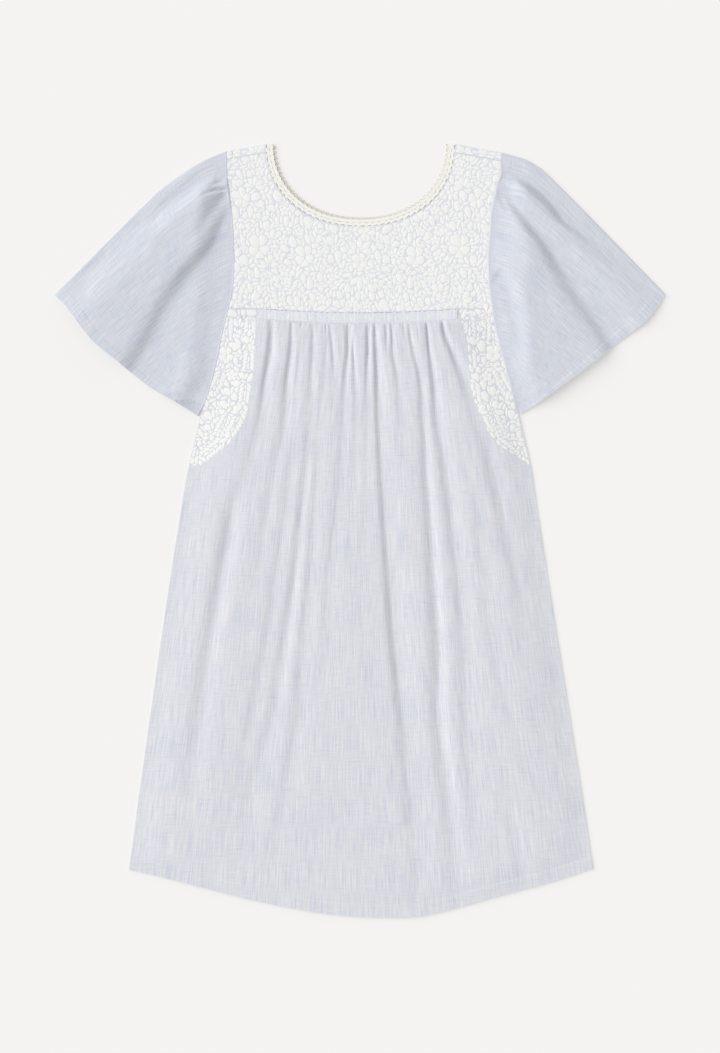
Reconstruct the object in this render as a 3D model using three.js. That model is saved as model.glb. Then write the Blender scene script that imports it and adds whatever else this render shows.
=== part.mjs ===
// A mini dress laid flat on its back: an embroidered yoke with a crochet neck edging, a gathered
// A-line skirt in a front and a back panel, a band of stitching over the front gathers, and two
// flutter sleeves that are gathered at the shoulder. Every piece is a wall of cloth, and the front
// pieces lie on the back ones. X is to the right, +Y towards the neck and +Z up from the table.
// All sizes are in millimetres. The origin is the middle of the outline, on the table.
import * as THREE from "three";

// How thick the cloth is, and how the layers lie on each other.
const CLOTH = 1.2;
const SEAM_GAP = 0.3;
const ARMHOLE_GAP = 0.45;
const BACK_FACE = 0;
const FRONT_FACE = 2 * CLOTH + SEAM_GAP;
const TURN_RADIUS = FRONT_FACE / 2;
const TURN_STEPS = 4;

// The neck is half of a rounded ellipse that hangs from the shoulder line.
const NECK_CENTRE_X = 0.5;
const SHOULDER_Y = 448.8;
const NECK_HALF_WIDTH = 101.5;
const NECK_DEPTH = 87.5;
const NECK_ROUNDNESS = 2.15;
const NECK_SAMPLES = 96;
const BACK_NECK_SHIFT = 3;
const EDGING_WIDTH = 8.5;
const SCALLOPS = 46;
const SCALLOP_DEPTH = 1.4;
const POINTS_PER_SCALLOP = 2;

// The shoulder seam lies on the front, below the fold, and falls towards the arm.
const SHOULDER_TURN = 10;
const SHOULDER_SLOPE = 0.18;

// The seam under the yoke, which dips at the middle, and the stitched band below it.
const YOKE_SEAM_Y = 257.5;
const YOKE_SEAM_DIP = 4.5;
const BAND = { left: -117.5, right: 113, height: 11.5, thick: 1, columns: 24 };

// The turned-up hems.
const HEM_LOWEST_Y = -448.8;
const HEM_HEIGHT = 14.5;
const HEM_THICK = 0.5;
const HEM_STEP = 1;

// The sides of the body from the shoulder to the hem.
const SIDES = [
  { y: 441, left: -155.4, right: 165.5 },
  { y: 412, left: -154.6, right: 162.6 },
  { y: 382, left: -151.0, right: 154.6 },
  { y: 344, left: -147.4, right: 150.6 },
  { y: 308, left: -146.7, right: 148.8 },
  { y: 280, left: -148.4, right: 151.0 },
  { y: 257, left: -153.4, right: 154.2 },
  { y: 228, left: -160.5, right: 159.2 },
  { y: 192, left: -167.8, right: 168.8 },
  { y: 162, left: -176.0, right: 176.6 },
  { y: 132, left: -185.2, right: 184.6 },
  { y: 76, left: -198.4, right: 197.8 },
  { y: 24, left: -207.6, right: 205.6 },
  { y: -80, left: -223.9, right: 221.8 },
  { y: -290, left: -254.0, right: 255.0 },
  { y: -394, left: -268.2, right: 270.5 },
];

// The hem of the skirt, from the left side seam to the right one.
const HEM = [
  { x: -268.2, y: -393.6 },
  { x: -222, y: -404 },
  { x: -129, y: -427.6 },
  { x: -50, y: -443 },
  { x: 0, y: -447.8 },
  { x: 34, y: -448.8 },
  { x: 66, y: -447.6 },
  { x: 104, y: -439.6 },
  { x: 165, y: -422.5 },
  { x: 225, y: -406.5 },
  { x: 270.5, y: -392.4 },
];

// Each sleeve's folded top edge runs from the shoulder to the tip, and its hem from the tip back
// to the underarm.
const SLEEVES = {
  left: {
    top: [
      { x: -155.9, y: 440 },
      { x: -181, y: 430 },
      { x: -208.8, y: 412.7 },
      { x: -232, y: 395.3 },
      { x: -250.6, y: 377.9 },
      { x: -302.8, y: 325.7 },
      { x: -354.4, y: 274.1 },
    ],
    hem: [
      { x: -354.4, y: 274.1 },
      { x: -338.7, y: 257.2 },
      { x: -310.9, y: 221.3 },
      { x: -283, y: 198.1 },
      { x: -247.1, y: 169 },
      { x: -218, y: 151.7 },
      { x: -187.2, y: 133 },
    ],
  },
  right: {
    top: [
      { x: 166, y: 438.4 },
      { x: 180, y: 434.6 },
      { x: 193.7, y: 430 },
      { x: 206, y: 422.6 },
      { x: 218.1, y: 412.7 },
      { x: 270.3, y: 360.5 },
      { x: 354.4, y: 274.1 },
    ],
    hem: [
      { x: 354.4, y: 274.1 },
      { x: 342.2, y: 256.1 },
      { x: 326, y: 238.7 },
      { x: 302.8, y: 221.3 },
      { x: 258.7, y: 186.5 },
      { x: 211.1, y: 151.7 },
      { x: 186.3, y: 135.6 },
    ],
  },
};
const SLEEVE_FOOT = { left: 145, right: 147 };

// How high the front cloth stands over the back, and how it settles at its edges.
const SKIRT_PUFF = { gathers: 5.2, hip: 3.4, hem: 1.8, hipShare: 0.45 };
const SKIRT_SIDE_RISE = 26;
const GATHER_RISE = 16;
const SLEEVE_PUFF = 4.6;
const SLEEVE_EDGE_RISE = 15;
const SLEEVE_SEAM_RISE = 42;
const SLEEVE_SEAM_LIFT = 0.15;

// The folds: each trough or ridge is a smooth line through three points. Its depth and half-width
// change from start to end, and a negative depth is a ridge.
const SKIRT_FOLDS = [
  { start: [-104, 246], via: [-109, 196], end: [-114, 142], deep: 5, low: 3.4, wide: 3.4, spread: 4.4 },
  { start: [-140, 62], via: [-169, -80], end: [-198, -330], deep: 2.6, low: 1.2, wide: 9, spread: 16 },
  { start: [-81, 246], via: [-98, 40], end: [-142, -392], deep: 4.6, low: 0.6, wide: 3.6, spread: 15 },
  { start: [-68, 240], via: [-75, 190], end: [-88, 110], deep: 2.6, low: 0.5, wide: 3, spread: 7 },
  { start: [-54.5, 246], via: [-68, 20], end: [-110, -340], deep: 4.2, low: 1.2, wide: 3.6, spread: 15 },
  { start: [-33.5, 246], via: [-37, 140], end: [-56, -60], deep: 4.2, low: 0.6, wide: 3.2, spread: 9 },
  { start: [-14, 246], via: [-24, 100], end: [-34, -160], deep: 4.2, low: 0.5, wide: 3.2, spread: 11 },
  { start: [-7, 238], via: [-8, 180], end: [-9, 100], deep: 3.2, low: 0.6, wide: 2.8, spread: 6 },
  { start: [8.5, 244], via: [7.5, 200], end: [6, 110], deep: 4.4, low: 0.5, wide: 3, spread: 5 },
  { start: [17.5, 246], via: [27, -40], end: [64, -425], deep: 5, low: 1.3, wide: 3.2, spread: 13 },
  { start: [30, 240], via: [30, 200], end: [29, 150], deep: 2.4, low: 0.5, wide: 2.6, spread: 4 },
  { start: [37, 246], via: [43, 130], end: [48, -20], deep: 3.6, low: 0.4, wide: 3.2, spread: 8 },
  { start: [56, 246], via: [76, 10], end: [106, -372], deep: 4.6, low: 1.2, wide: 3.8, spread: 14 },
  { start: [77.5, 246], via: [90, 95], end: [117, -190], deep: 4.4, low: 0.8, wide: 3.6, spread: 13 },
  { start: [98, 246], via: [126, 108], end: [186, -230], deep: 4.2, low: 0.8, wide: 3.8, spread: 17 },
  { start: [104, 236], via: [110, 205], end: [122, 160], deep: 2.6, low: 0.6, wide: 3, spread: 5 },
  { start: [166, -300], via: [175, -350], end: [184, -410], deep: 1.2, low: 1.4, wide: 8, spread: 10 },
];
const SLEEVE_FOLDS = {
  left: [
    { start: [-160, 432], via: [-180, 424], end: [-201, 406], deep: 2.2, low: 1.5, wide: 3, spread: 5 },
    { start: [-158, 421], via: [-195, 402], end: [-242, 368], deep: 4.4, low: 1.4, wide: 4, spread: 8 },
    { start: [-154, 397], via: [-170, 394], end: [-186, 392], deep: 4.2, low: 1.2, wide: 3, spread: 4 },
    { start: [-153, 391], via: [-172, 370], end: [-192, 338], deep: 3.2, low: 0.8, wide: 4, spread: 8 },
    { start: [-151, 370], via: [-197, 296], end: [-263, 178], deep: 3.4, low: 4.4, wide: 7, spread: 15 },
    { start: [-164, 344], via: [-226, 278], end: [-292, 190], deep: -0.8, low: -2.6, wide: 9, spread: 17 },
  ],
  right: [
    { start: [166, 428], via: [180, 422], end: [196, 410], deep: 3, low: 1, wide: 3, spread: 5 },
    { start: [165, 418], via: [216, 384], end: [274, 308], deep: 4.4, low: 0.8, wide: 4.6, spread: 11 },
    { start: [161, 398], via: [216, 320], end: [286, 214], deep: 3.6, low: 3.6, wide: 4.6, spread: 14 },
    { start: [156, 300], via: [179, 262], end: [186, 190], deep: 1, low: 1.4, wide: 8, spread: 10 },
    { start: [190, 392], via: [246, 320], end: [312, 236], deep: -0.8, low: -2, wide: 9, spread: 14 },
  ],
};
const FOLD_SAMPLES = 14;
const FOLD_FADE = 0.12;

const COTTON = { color: 0xd8dae0, roughness: 0.95, metalness: 0 };
const EMBROIDERED = { color: 0xececeb, roughness: 0.85, metalness: 0 };
const CROCHET = { color: 0xf3f2f1, roughness: 0.9, metalness: 0 };

const mix = (a, b, t) => a + (b - a) * t;
const clamp01 = (t) => Math.min(1, Math.max(0, t));
const smooth = (t) => clamp01(t) ** 2 * (3 - 2 * clamp01(t));
const steps = (count) => Array.from({ length: count + 1 }, (_, i) => i / count);

// A smooth value between the rows of a table, which are in order of the column `by`.
function readTable(rows, by, want, at) {
  const up = rows[0][by] < rows[rows.length - 1][by];
  let k = 0;
  while (k < rows.length - 2 && (up ? at > rows[k + 1][by] : at < rows[k + 1][by])) k++;
  const slope = (a, b) => (b[want] - a[want]) / (b[by] - a[by]);
  const [before, here, next, after] = [k - 1, k, k + 1, k + 2].map(
    (i) => rows[Math.min(rows.length - 1, Math.max(0, i))],
  );
  const gap = next[by] - here[by];
  const t = clamp01((at - here[by]) / gap);
  const slopeHere = slope(before, next) * gap;
  const slopeNext = slope(here, after) * gap;
  return (
    here[want] * (1 + 2 * t) * (1 - t) ** 2 +
    slopeHere * t * (1 - t) ** 2 +
    next[want] * t ** 2 * (3 - 2 * t) +
    slopeNext * t ** 2 * (t - 1)
  );
}

const leftSide = (y) => readTable(SIDES, "y", "left", y);
const rightSide = (y) => readTable(SIDES, "y", "right", y);

function yokeSeam(x) {
  const side = Math.min(1, Math.abs(x) / BAND.right);
  return YOKE_SEAM_Y - YOKE_SEAM_DIP * (1 - side ** 2);
}

// A smooth line through the rows of a table, read by the share of its length.
function lineThrough(rows) {
  return new THREE.SplineCurve(rows.map((row) => new THREE.Vector2(row.x, row.y)));
}

// The neck line, widened by `out`, from the left shoulder to the right one. Below the shoulders
// it is moved to the right by `shift`.
function neckLine(out, shift) {
  const points = steps(NECK_SAMPLES).map((t) => {
    const turn = Math.PI * t;
    const across = Math.sign(Math.cos(turn)) * Math.abs(Math.cos(turn)) ** (2 / NECK_ROUNDNESS);
    const down = Math.sin(turn) ** (2 / NECK_ROUNDNESS);
    return new THREE.Vector2(
      NECK_CENTRE_X + shift * Math.sqrt(Math.sin(turn)) - (NECK_HALF_WIDTH + out) * across,
      SHOULDER_Y - (NECK_DEPTH + out) * down,
    );
  });
  return new THREE.SplineCurve(points);
}

// The smooth line that a fold follows, as short steps.
function foldLine({ start, via, end }) {
  const bend = start.map((s, i) => 2 * via[i] - (s + end[i]) / 2);
  const curve = new THREE.QuadraticBezierCurve(
    new THREE.Vector2(...start),
    new THREE.Vector2(...bend),
    new THREE.Vector2(...end),
  );
  return curve.getPoints(FOLD_SAMPLES);
}

// How deep one fold is at a place on the cloth. It fades out at both ends.
function readFold(fold, line, place) {
  let best = { away: Infinity, share: 0 };
  for (let k = 0; k < FOLD_SAMPLES; k++) {
    const along = line[k + 1].clone().sub(line[k]);
    const t = clamp01(place.clone().sub(line[k]).dot(along) / along.lengthSq());
    const away = line[k].clone().addScaledVector(along, t).distanceTo(place);
    if (away < best.away) best = { away, share: (k + t) / FOLD_SAMPLES };
  }
  const fade = smooth(best.share / FOLD_FADE) * smooth((1 - best.share) / (2 * FOLD_FADE));
  const wide = mix(fold.wide, fold.spread, best.share);
  return mix(fold.deep, fold.low, best.share) * fade * Math.exp(-((best.away / wide) ** 2));
}

function foldsOf(table) {
  const lines = table.map(foldLine);
  return (x, y) => {
    const place = new THREE.Vector2(x, y);
    return table.reduce((sum, fold, i) => sum + readFold(fold, lines[i], place), 0);
  };
}

// A closed wall between an outer and an inner grid of points. Grids that close on themselves
// make a tube, which is open at its two ends.
function wallGeometry(outer, inner, closed = false) {
  const rows = outer.length;
  const columns = outer[0].length;
  const last = closed ? columns : columns - 1;
  const inwards = rows * columns;
  const positions = [...outer.flat(), ...inner.flat()].flatMap((p) => [p.x, p.y, p.z]);
  const triangles = [];
  const quad = (a, b, c, d) => triangles.push(a, b, c, a, c, d);
  const at = (i, j) => i * columns + (j % columns);
  for (let i = 0; i < rows - 1; i++)
    for (let j = 0; j < last; j++) {
      const corners = [at(i, j), at(i, j + 1), at(i + 1, j + 1), at(i + 1, j)];
      quad(...corners);
      quad(...corners.map((corner) => corner + inwards).reverse());
    }
  for (let j = 0; j < last; j++) {
    quad(at(0, j + 1), at(0, j), at(0, j) + inwards, at(0, j + 1) + inwards);
    quad(at(rows - 1, j), at(rows - 1, j + 1), at(rows - 1, j + 1) + inwards, at(rows - 1, j) + inwards);
  }
  if (!closed)
    for (let i = 0; i < rows - 1; i++) {
      const [here, next] = [at(i, last), at(i + 1, last)];
      quad(at(i, 0), at(i + 1, 0), at(i + 1, 0) + inwards, at(i, 0) + inwards);
      quad(next, here, here + inwards, next + inwards);
    }
  if (signedVolume(positions, triangles) < 0) triangles.reverse();
  const geometry = new THREE.BufferGeometry();
  geometry.setAttribute("position", new THREE.Float32BufferAttribute(positions, 3));
  geometry.setIndex(triangles);
  geometry.computeVertexNormals();
  return geometry;
}

function signedVolume(positions, triangles) {
  const corner = (k) => new THREE.Vector3().fromArray(positions, 3 * triangles[k]);
  let volume = 0;
  for (let k = 0; k < triangles.length; k += 3)
    volume += corner(k).dot(corner(k + 1).cross(corner(k + 2))) / 6;
  return volume;
}

function piece(name, geometry, finish) {
  const mesh = new THREE.Mesh(geometry, new THREE.MeshStandardMaterial(finish));
  mesh.name = name;
  return mesh;
}

// A flat wall from a grid of places: its outer face is at the height that `faceAt` gives, and its
// inner face lies one thickness below or above it.
function flatWall(grid, faceAt, thickness) {
  const outer = grid.map((row) => row.map((p) => new THREE.Vector3(p.x, p.y, faceAt(p))));
  const inner = outer.map((row, i) =>
    row.map((p, j) => new THREE.Vector3(p.x, p.y, p.z - (grid[i][j].thick ?? thickness))),
  );
  return wallGeometry(outer, inner);
}

// The skirt panels. `share` runs from the yoke seam to the hem and `across` from side to side.
const SKIRT_ROWS = [
  0, 0.017, 0.024, 0.036, 0.056, 0.086, 0.126, 0.155, 0.19, 0.23, 0.28, 0.35, 0.45, 0.58, 0.72, 0.86,
];

// The columns are close together below the gathers and wider apart at the sides.
const SIDE_SHARE = 0.12;
const SKIRT_COLUMNS = {
  front: { gathered: 74, side: 5 },
  back: { gathered: 12, side: 2 },
};

function skirtColumns({ gathered, side }) {
  return [
    ...steps(side).slice(0, -1).map((t) => SIDE_SHARE * t),
    ...steps(gathered).map((t) => mix(SIDE_SHARE, 1 - SIDE_SHARE, t)),
    ...steps(side).slice(1).map((t) => mix(1 - SIDE_SHARE, 1, t)),
  ];
}

function skirtGrid(columns) {
  const top = { left: leftSide(YOKE_SEAM_Y), right: rightSide(YOKE_SEAM_Y) };
  const length = YOKE_SEAM_Y - HEM[0].y;
  const hemShares = [1 - (HEM_HEIGHT + HEM_STEP) / length, 1 - HEM_HEIGHT / length, 1];
  const shares = [...SKIRT_ROWS, ...hemShares];
  return shares.map((share, i) =>
    skirtColumns(columns).map((across) => {
      const topY = yokeSeam(mix(top.left, top.right, across)) - SEAM_GAP;
      const hemY = readTable(HEM, "x", "y", mix(HEM[0].x, HEM[HEM.length - 1].x, across));
      const y = mix(topY, hemY, share);
      const sideY = mix(YOKE_SEAM_Y - SEAM_GAP, across < 0.5 ? HEM[0].y : HEM[HEM.length - 1].y, share);
      const x = mix(leftSide(sideY), rightSide(sideY), across);
      const inHem = i >= shares.length - 2;
      return { x, y, inHem, sideGap: Math.min(x - leftSide(sideY), rightSide(sideY) - x) };
    }),
  );
}

function skirtLift(folds, { x, y, sideGap }) {
  const below = yokeSeam(x) - BAND.height - y;
  const down = below / (YOKE_SEAM_Y - HEM_LOWEST_Y);
  const { gathers, hip, hem, hipShare } = SKIRT_PUFF;
  const puff = down < hipShare
    ? mix(gathers, hip, smooth(down / hipShare))
    : mix(hip, hem, smooth((down - hipShare) / (1 - hipShare)));
  const rise = smooth(sideGap / SKIRT_SIDE_RISE) * smooth(below / GATHER_RISE);
  return rise * Math.max(0, puff - folds(x, y));
}

function frontSkirt() {
  const folds = foldsOf(SKIRT_FOLDS);
  const grid = skirtGrid(SKIRT_COLUMNS.front).map((row) =>
    row.map((p) => ({ ...p, thick: CLOTH + (p.inHem ? HEM_THICK : 0) })),
  );
  const faceAt = (p) => FRONT_FACE + skirtLift(folds, p) + (p.inHem ? HEM_THICK : 0);
  return piece("front_skirt", flatWall(grid, faceAt, CLOTH), COTTON);
}

function backSkirt() {
  const grid = skirtGrid(SKIRT_COLUMNS.back);
  return piece("back_skirt", flatWall(grid, () => BACK_FACE, -CLOTH), COTTON);
}

// The stitched band lies on the pressed top of the front gathers.
function gatherBand() {
  const face = FRONT_FACE + SEAM_GAP + BAND.thick;
  const grid = [0, 1].map((share) =>
    steps(BAND.columns).map((across) => {
      const x = mix(BAND.left, BAND.right, across);
      return { x, y: yokeSeam(x) - SEAM_GAP - share * BAND.height };
    }),
  );
  return piece("gather_band", flatWall(grid, () => face, BAND.thick), COTTON);
}

// The yokes run as a strip round the neck: down one strap, along the seam and up the other strap.
const STRAP_COLUMNS = 12;
const SEAM_COLUMNS = 18;
const YOKE_ROWS = 5;
const STRAP_SHARE = 0.3;

const shoulderAt = (x) => SHOULDER_Y - SHOULDER_SLOPE * (Math.abs(x) - NECK_HALF_WIDTH - EDGING_WIDTH);

// Places across a yoke, from the neck line to the outer edge, for each column of the strip.
// `below` is how far down from the shoulder fold the strip starts.
function yokeStrip(below, shift) {
  const neck = neckLine(EDGING_WIDTH + SEAM_GAP, shift);
  const [start, end] = [0, 1].map((t) => {
    const drop = SHOULDER_Y - shoulderAt(neck.getPointAt(t).x) + below;
    return Math.abs(t - drop / neck.getLength());
  });
  const top = [SIDES[0].left, SIDES[0].right].map((x) => shoulderAt(x) - below);
  const foot = YOKE_SEAM_Y;
  const columns = [];
  const add = (neckShare, outer) => {
    const inner = neck.getPointAt(mix(start, end, neckShare));
    columns.push(steps(YOKE_ROWS).map((t) => ({ x: mix(inner.x, outer.x, t), y: mix(inner.y, outer.y, t) })));
  };
  for (const t of steps(STRAP_COLUMNS)) {
    const y = mix(top[0], foot, t);
    add(STRAP_SHARE * t, { x: leftSide(y), y });
  }
  for (const t of steps(SEAM_COLUMNS).slice(1, -1)) {
    const x = mix(leftSide(foot), rightSide(foot), t);
    add(mix(STRAP_SHARE, 1 - STRAP_SHARE, t), { x, y: yokeSeam(x) });
  }
  for (const t of steps(STRAP_COLUMNS)) {
    const y = mix(foot, top[1], t);
    add(mix(1 - STRAP_SHARE, 1, t), { x: rightSide(y), y });
  }
  return columns;
}

function frontYoke() {
  return piece("front_yoke", flatWall(yokeStrip(SHOULDER_TURN, 0), () => FRONT_FACE, CLOTH), EMBROIDERED);
}

// The cloth turns over the shoulder fold from the back layer to the front one.
function shoulderTurn(places, radius) {
  return steps(TURN_STEPS).slice(1, -1).map((t) => {
    const angle = Math.PI * t;
    return places.map(
      (p) => new THREE.Vector3(p.x, p.y + radius * Math.sin(angle), TURN_RADIUS - radius * Math.cos(angle)),
    );
  });
}

// The back yoke turns over the shoulder fold and ends at the shoulder seam on the front.
function backYoke() {
  const strip = yokeStrip(TURN_RADIUS, BACK_NECK_SHIFT);
  const seam = yokeStrip(SHOULDER_TURN - SEAM_GAP, 0);
  const flat = (places, z) => places.map((p) => new THREE.Vector3(p.x, p.y, z));
  const face = (radius) => {
    const [low, high] = [TURN_RADIUS - radius, TURN_RADIUS + radius];
    const [first, last] = [strip[0], strip[strip.length - 1]];
    return [
      flat(seam[0], high),
      flat(first, high),
      ...shoulderTurn(first, radius).reverse(),
      ...strip.map((places) => flat(places, low)),
      ...shoulderTurn(last, radius),
      flat(last, high),
      flat(seam[seam.length - 1], high),
    ];
  };
  return piece("back_yoke", wallGeometry(face(TURN_RADIUS), face(TURN_RADIUS - CLOTH)), EMBROIDERED);
}

// The crochet edging is one strip all round the neck, which turns over both shoulder folds. It
// hangs from the neck line and ends in small scallops.
function neckEdging() {
  const arc = (shift) => {
    const seam = neckLine(EDGING_WIDTH, shift);
    const edge = neckLine(0, shift);
    return steps(SCALLOPS * POINTS_PER_SCALLOP).map((t) => {
      const start = TURN_RADIUS / seam.getLength();
      const share = mix(start, 1 - start, t);
      const [outer, inner] = [seam.getPointAt(share), edge.getPointAt(share)];
      const wave = SCALLOP_DEPTH * (Math.sin(Math.PI * SCALLOPS * t) ** 2 - 0.5);
      inner.lerp(outer, -wave / inner.distanceTo(outer));
      return [outer, inner];
    });
  };
  const [front, back] = [arc(0), arc(BACK_NECK_SHIFT)];
  const loop = (radius) => {
    const flat = (columns, z) => columns.map((column) => column.map((p) => new THREE.Vector3(p.x, p.y, z)));
    const columns = [
      ...flat(front, TURN_RADIUS + radius),
      ...shoulderTurn(front[front.length - 1], radius).reverse(),
      ...flat(back, TURN_RADIUS - radius).reverse(),
      ...shoulderTurn(back[0], radius),
    ];
    return [0, 1].map((row) => columns.map((column) => column[row]));
  };
  return piece("neck_edging", wallGeometry(loop(TURN_RADIUS), loop(TURN_RADIUS - CLOTH), true), CROCHET);
}

// The sleeves are flattened tubes, with rings from the armhole to the hem. Each ring runs from the
// underarm up the front layer, round the fold at the top and back down the back layer.
const SLEEVE_RINGS = [0, 0.04, 0.09, 0.15, 0.22, 0.31, 0.42, 0.54, 0.67, 0.8];
const SLEEVE_FRONT = [
  1, 0.94, 0.88, 0.81, 0.74, 0.67, 0.6, 0.53, 0.47, 0.41, 0.36,
  0.315, 0.275, 0.235, 0.195, 0.155, 0.12, 0.09, 0.06, 0.03, 0,
];
const SLEEVE_BACK_STEPS = 16;
const EDGE_STEP = 0.05;

// A place on a sleeve: `out` runs from the armhole to the hem, and `down` from the top edge to the
// underarm. The four edges are blended over the whole piece.
function sleevePatch(side) {
  const { top, hem } = SLEEVES[side];
  const topLine = lineThrough(top);
  const hemLine = lineThrough(hem);
  const outward = side === "left" ? -ARMHOLE_GAP : ARMHOLE_GAP;
  const sideAt = side === "left" ? leftSide : rightSide;
  const armhole = (down) => {
    const y = mix(top[0].y, SLEEVE_FOOT[side], down);
    return new THREE.Vector2(sideAt(y) + outward, y);
  };
  const foot = hem[hem.length - 1];
  return (out, down) => {
    const underarm = armhole(1).lerp(new THREE.Vector2(foot.x, foot.y), out);
    const edges = armhole(down).lerp(hemLine.getPointAt(down), out);
    const ends = topLine.getPointAt(out).lerp(underarm, down);
    const first = armhole(0).lerp(hemLine.getPointAt(0), out);
    const last = armhole(1).lerp(hemLine.getPointAt(1), out);
    return edges.add(ends).sub(first.lerp(last, down));
  };
}

function sleeveRing(place, folds, out, inHem) {
  const edgeOf = (down, towards) => {
    const edge = place(out, down);
    const outwards = edge.clone().sub(place(out, towards)).normalize();
    return { centre: edge.clone().addScaledVector(outwards, -TURN_RADIUS), outwards };
  };
  const fold = edgeOf(0, EDGE_STEP);
  const under = edgeOf(1, 1 - EDGE_STEP);
  const length = place(out, 0).distanceTo(place(out, 1));
  const armholeLength = place(0, 0).distanceTo(place(0, 1));
  const inside = (down) => {
    if (down === 0) return fold.centre;
    if (down === 1) return under.centre;
    return place(out, down);
  };
  const lift = (down) => {
    const { x, y } = inside(down);
    const edgeGap = Math.min(down, 1 - down) * length;
    const atSeam = mix(SLEEVE_SEAM_LIFT, 1, smooth((out * armholeLength) / SLEEVE_SEAM_RISE));
    return smooth(edgeGap / SLEEVE_EDGE_RISE) * atSeam * Math.max(0, SLEEVE_PUFF - folds(x, y));
  };
  const layer = (downs, zAt) =>
    downs.map((down) => new THREE.Vector3(inside(down).x, inside(down).y, zAt(down)));
  const turn = ({ centre, outwards }, radius, from) =>
    steps(TURN_STEPS).slice(1, -1).map((t) => {
      const angle = Math.PI * t;
      const flat = centre.clone().addScaledVector(outwards, radius * Math.sin(angle));
      return new THREE.Vector3(flat.x, flat.y, TURN_RADIUS + from * radius * Math.cos(angle));
    });
  const hem = inHem ? HEM_THICK : 0;
  const awayFromEdge = (down) => smooth(Math.min(down, 1 - down) / EDGE_STEP);
  const loop = (radius, raised) => [
    ...layer(SLEEVE_FRONT, (down) => TURN_RADIUS + radius + lift(down) + raised * awayFromEdge(down)),
    ...turn(fold, radius, 1),
    ...layer(steps(SLEEVE_BACK_STEPS), () => TURN_RADIUS - radius),
    ...turn(under, radius, -1),
  ];
  return { outer: loop(TURN_RADIUS, hem), inner: loop(TURN_RADIUS - CLOTH, 0) };
}

function sleeve(side) {
  const place = sleevePatch(side);
  const folds = foldsOf(SLEEVE_FOLDS[side]);
  const length = place(0, 0.5).distanceTo(place(1, 0.5));
  const hemShares = [1 - (HEM_HEIGHT + HEM_STEP) / length, 1 - HEM_HEIGHT / length, 1];
  const rings = [...SLEEVE_RINGS, ...hemShares].map((out, i) =>
    sleeveRing(place, folds, out, i > SLEEVE_RINGS.length),
  );
  const geometry = wallGeometry(rings.map((ring) => ring.outer), rings.map((ring) => ring.inner), true);
  return piece(`${side}_sleeve`, geometry, COTTON);
}

const dress = new THREE.Group();
dress.name = "mini_dress";
dress.add(
  frontYoke(),
  backYoke(),
  gatherBand(),
  frontSkirt(),
  backSkirt(),
  sleeve("left"),
  sleeve("right"),
  neckEdging(),
);

export default dress;
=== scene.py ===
# %% [markdown]
# # A mini dress, laid flat
# The dress lies on its back: a yoke that is covered with satin-stitch flowers, a crochet edging
# round the neck, a gathered skirt and two flutter sleeves, all in a pale blue slub cotton. The
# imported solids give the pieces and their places. Here each piece of cloth is made again as a thin
# shell on the same lines, with finer folds, and the sewing is added on top. Sizes are written in
# millimetres, as in the pattern, and turned into metres when a mesh is made.

# %% Load the frame
import math
from collections import namedtuple

import bpy
import numpy as np
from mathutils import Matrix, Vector


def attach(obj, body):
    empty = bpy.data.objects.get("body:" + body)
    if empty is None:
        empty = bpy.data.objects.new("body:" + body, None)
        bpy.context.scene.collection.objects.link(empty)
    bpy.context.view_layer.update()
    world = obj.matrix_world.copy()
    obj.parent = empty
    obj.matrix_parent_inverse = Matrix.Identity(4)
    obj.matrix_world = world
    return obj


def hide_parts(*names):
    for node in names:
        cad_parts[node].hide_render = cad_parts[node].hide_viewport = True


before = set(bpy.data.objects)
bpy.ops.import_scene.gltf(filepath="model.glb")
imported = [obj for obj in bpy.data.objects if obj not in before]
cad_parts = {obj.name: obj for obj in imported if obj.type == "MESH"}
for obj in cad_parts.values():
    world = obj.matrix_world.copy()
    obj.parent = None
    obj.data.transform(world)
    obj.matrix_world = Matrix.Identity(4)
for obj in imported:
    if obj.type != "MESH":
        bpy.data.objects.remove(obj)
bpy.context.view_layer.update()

MM = 0.001
bpy.ops.object.select_all(action="DESELECT")
print("nodes:", sorted(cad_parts))

# %% [markdown]
# ## The camera, the floor and the light
# The photo is taken from straight above, so a camera with a long lens looks down at the middle of
# the frame. A near camera would lean the edges outwards. The light is what makes folds in a pale
# cloth readable: one large soft light from the left, low enough to shade the right-hand side of
# each fold, and an even white surround that keeps the shades pale. A sun with a wide disc does
# this, as it lights both ends of the dress alike.

# %% Camera
PHOTO = (720, 1053)
MM_PER_PIXEL = 1.16
MIDDLE_ROW = 530.75
LENS = 100
SENSOR = 36
photo_height = PHOTO[1] * MM_PER_PIXEL
camera_y = (MIDDLE_ROW - PHOTO[1] / 2) * MM_PER_PIXEL
camera_z = photo_height * LENS / SENSOR + 3
bpy.ops.object.camera_add(location=(0, camera_y * MM, camera_z * MM), rotation=(0, 0, 0))
camera = bpy.context.object
camera.data.lens = LENS
camera.data.sensor_width = SENSOR
camera.data.clip_end = 20
bpy.context.scene.camera = camera
print("camera height in mm:", round(camera_z))

# %% Floor
FLOOR_WHITE = 0.52
FLOOR_GLOW = 0.385
FLOOR_TINT = (1, 0.99, 0.98)
bpy.ops.mesh.primitive_plane_add(size=60, location=(0, 0, -0.0006))
floor = bpy.context.object
floor.name = "floor"
paper = bpy.data.materials.new("floor_paper")
paper.use_nodes = True
paper_shader = paper.node_tree.nodes["Principled BSDF"]
paper_shader.inputs["Base Color"].default_value = (*(FLOOR_WHITE * part for part in FLOOR_TINT), 1)
paper_shader.inputs["Emission Color"].default_value = (*FLOOR_TINT, 1)
paper_shader.inputs["Emission Strength"].default_value = FLOOR_GLOW
paper_shader.inputs["Roughness"].default_value = 1
paper_shader.inputs["Specular IOR Level"].default_value = 0
floor.data.materials.append(paper)
print("floor added")

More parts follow.
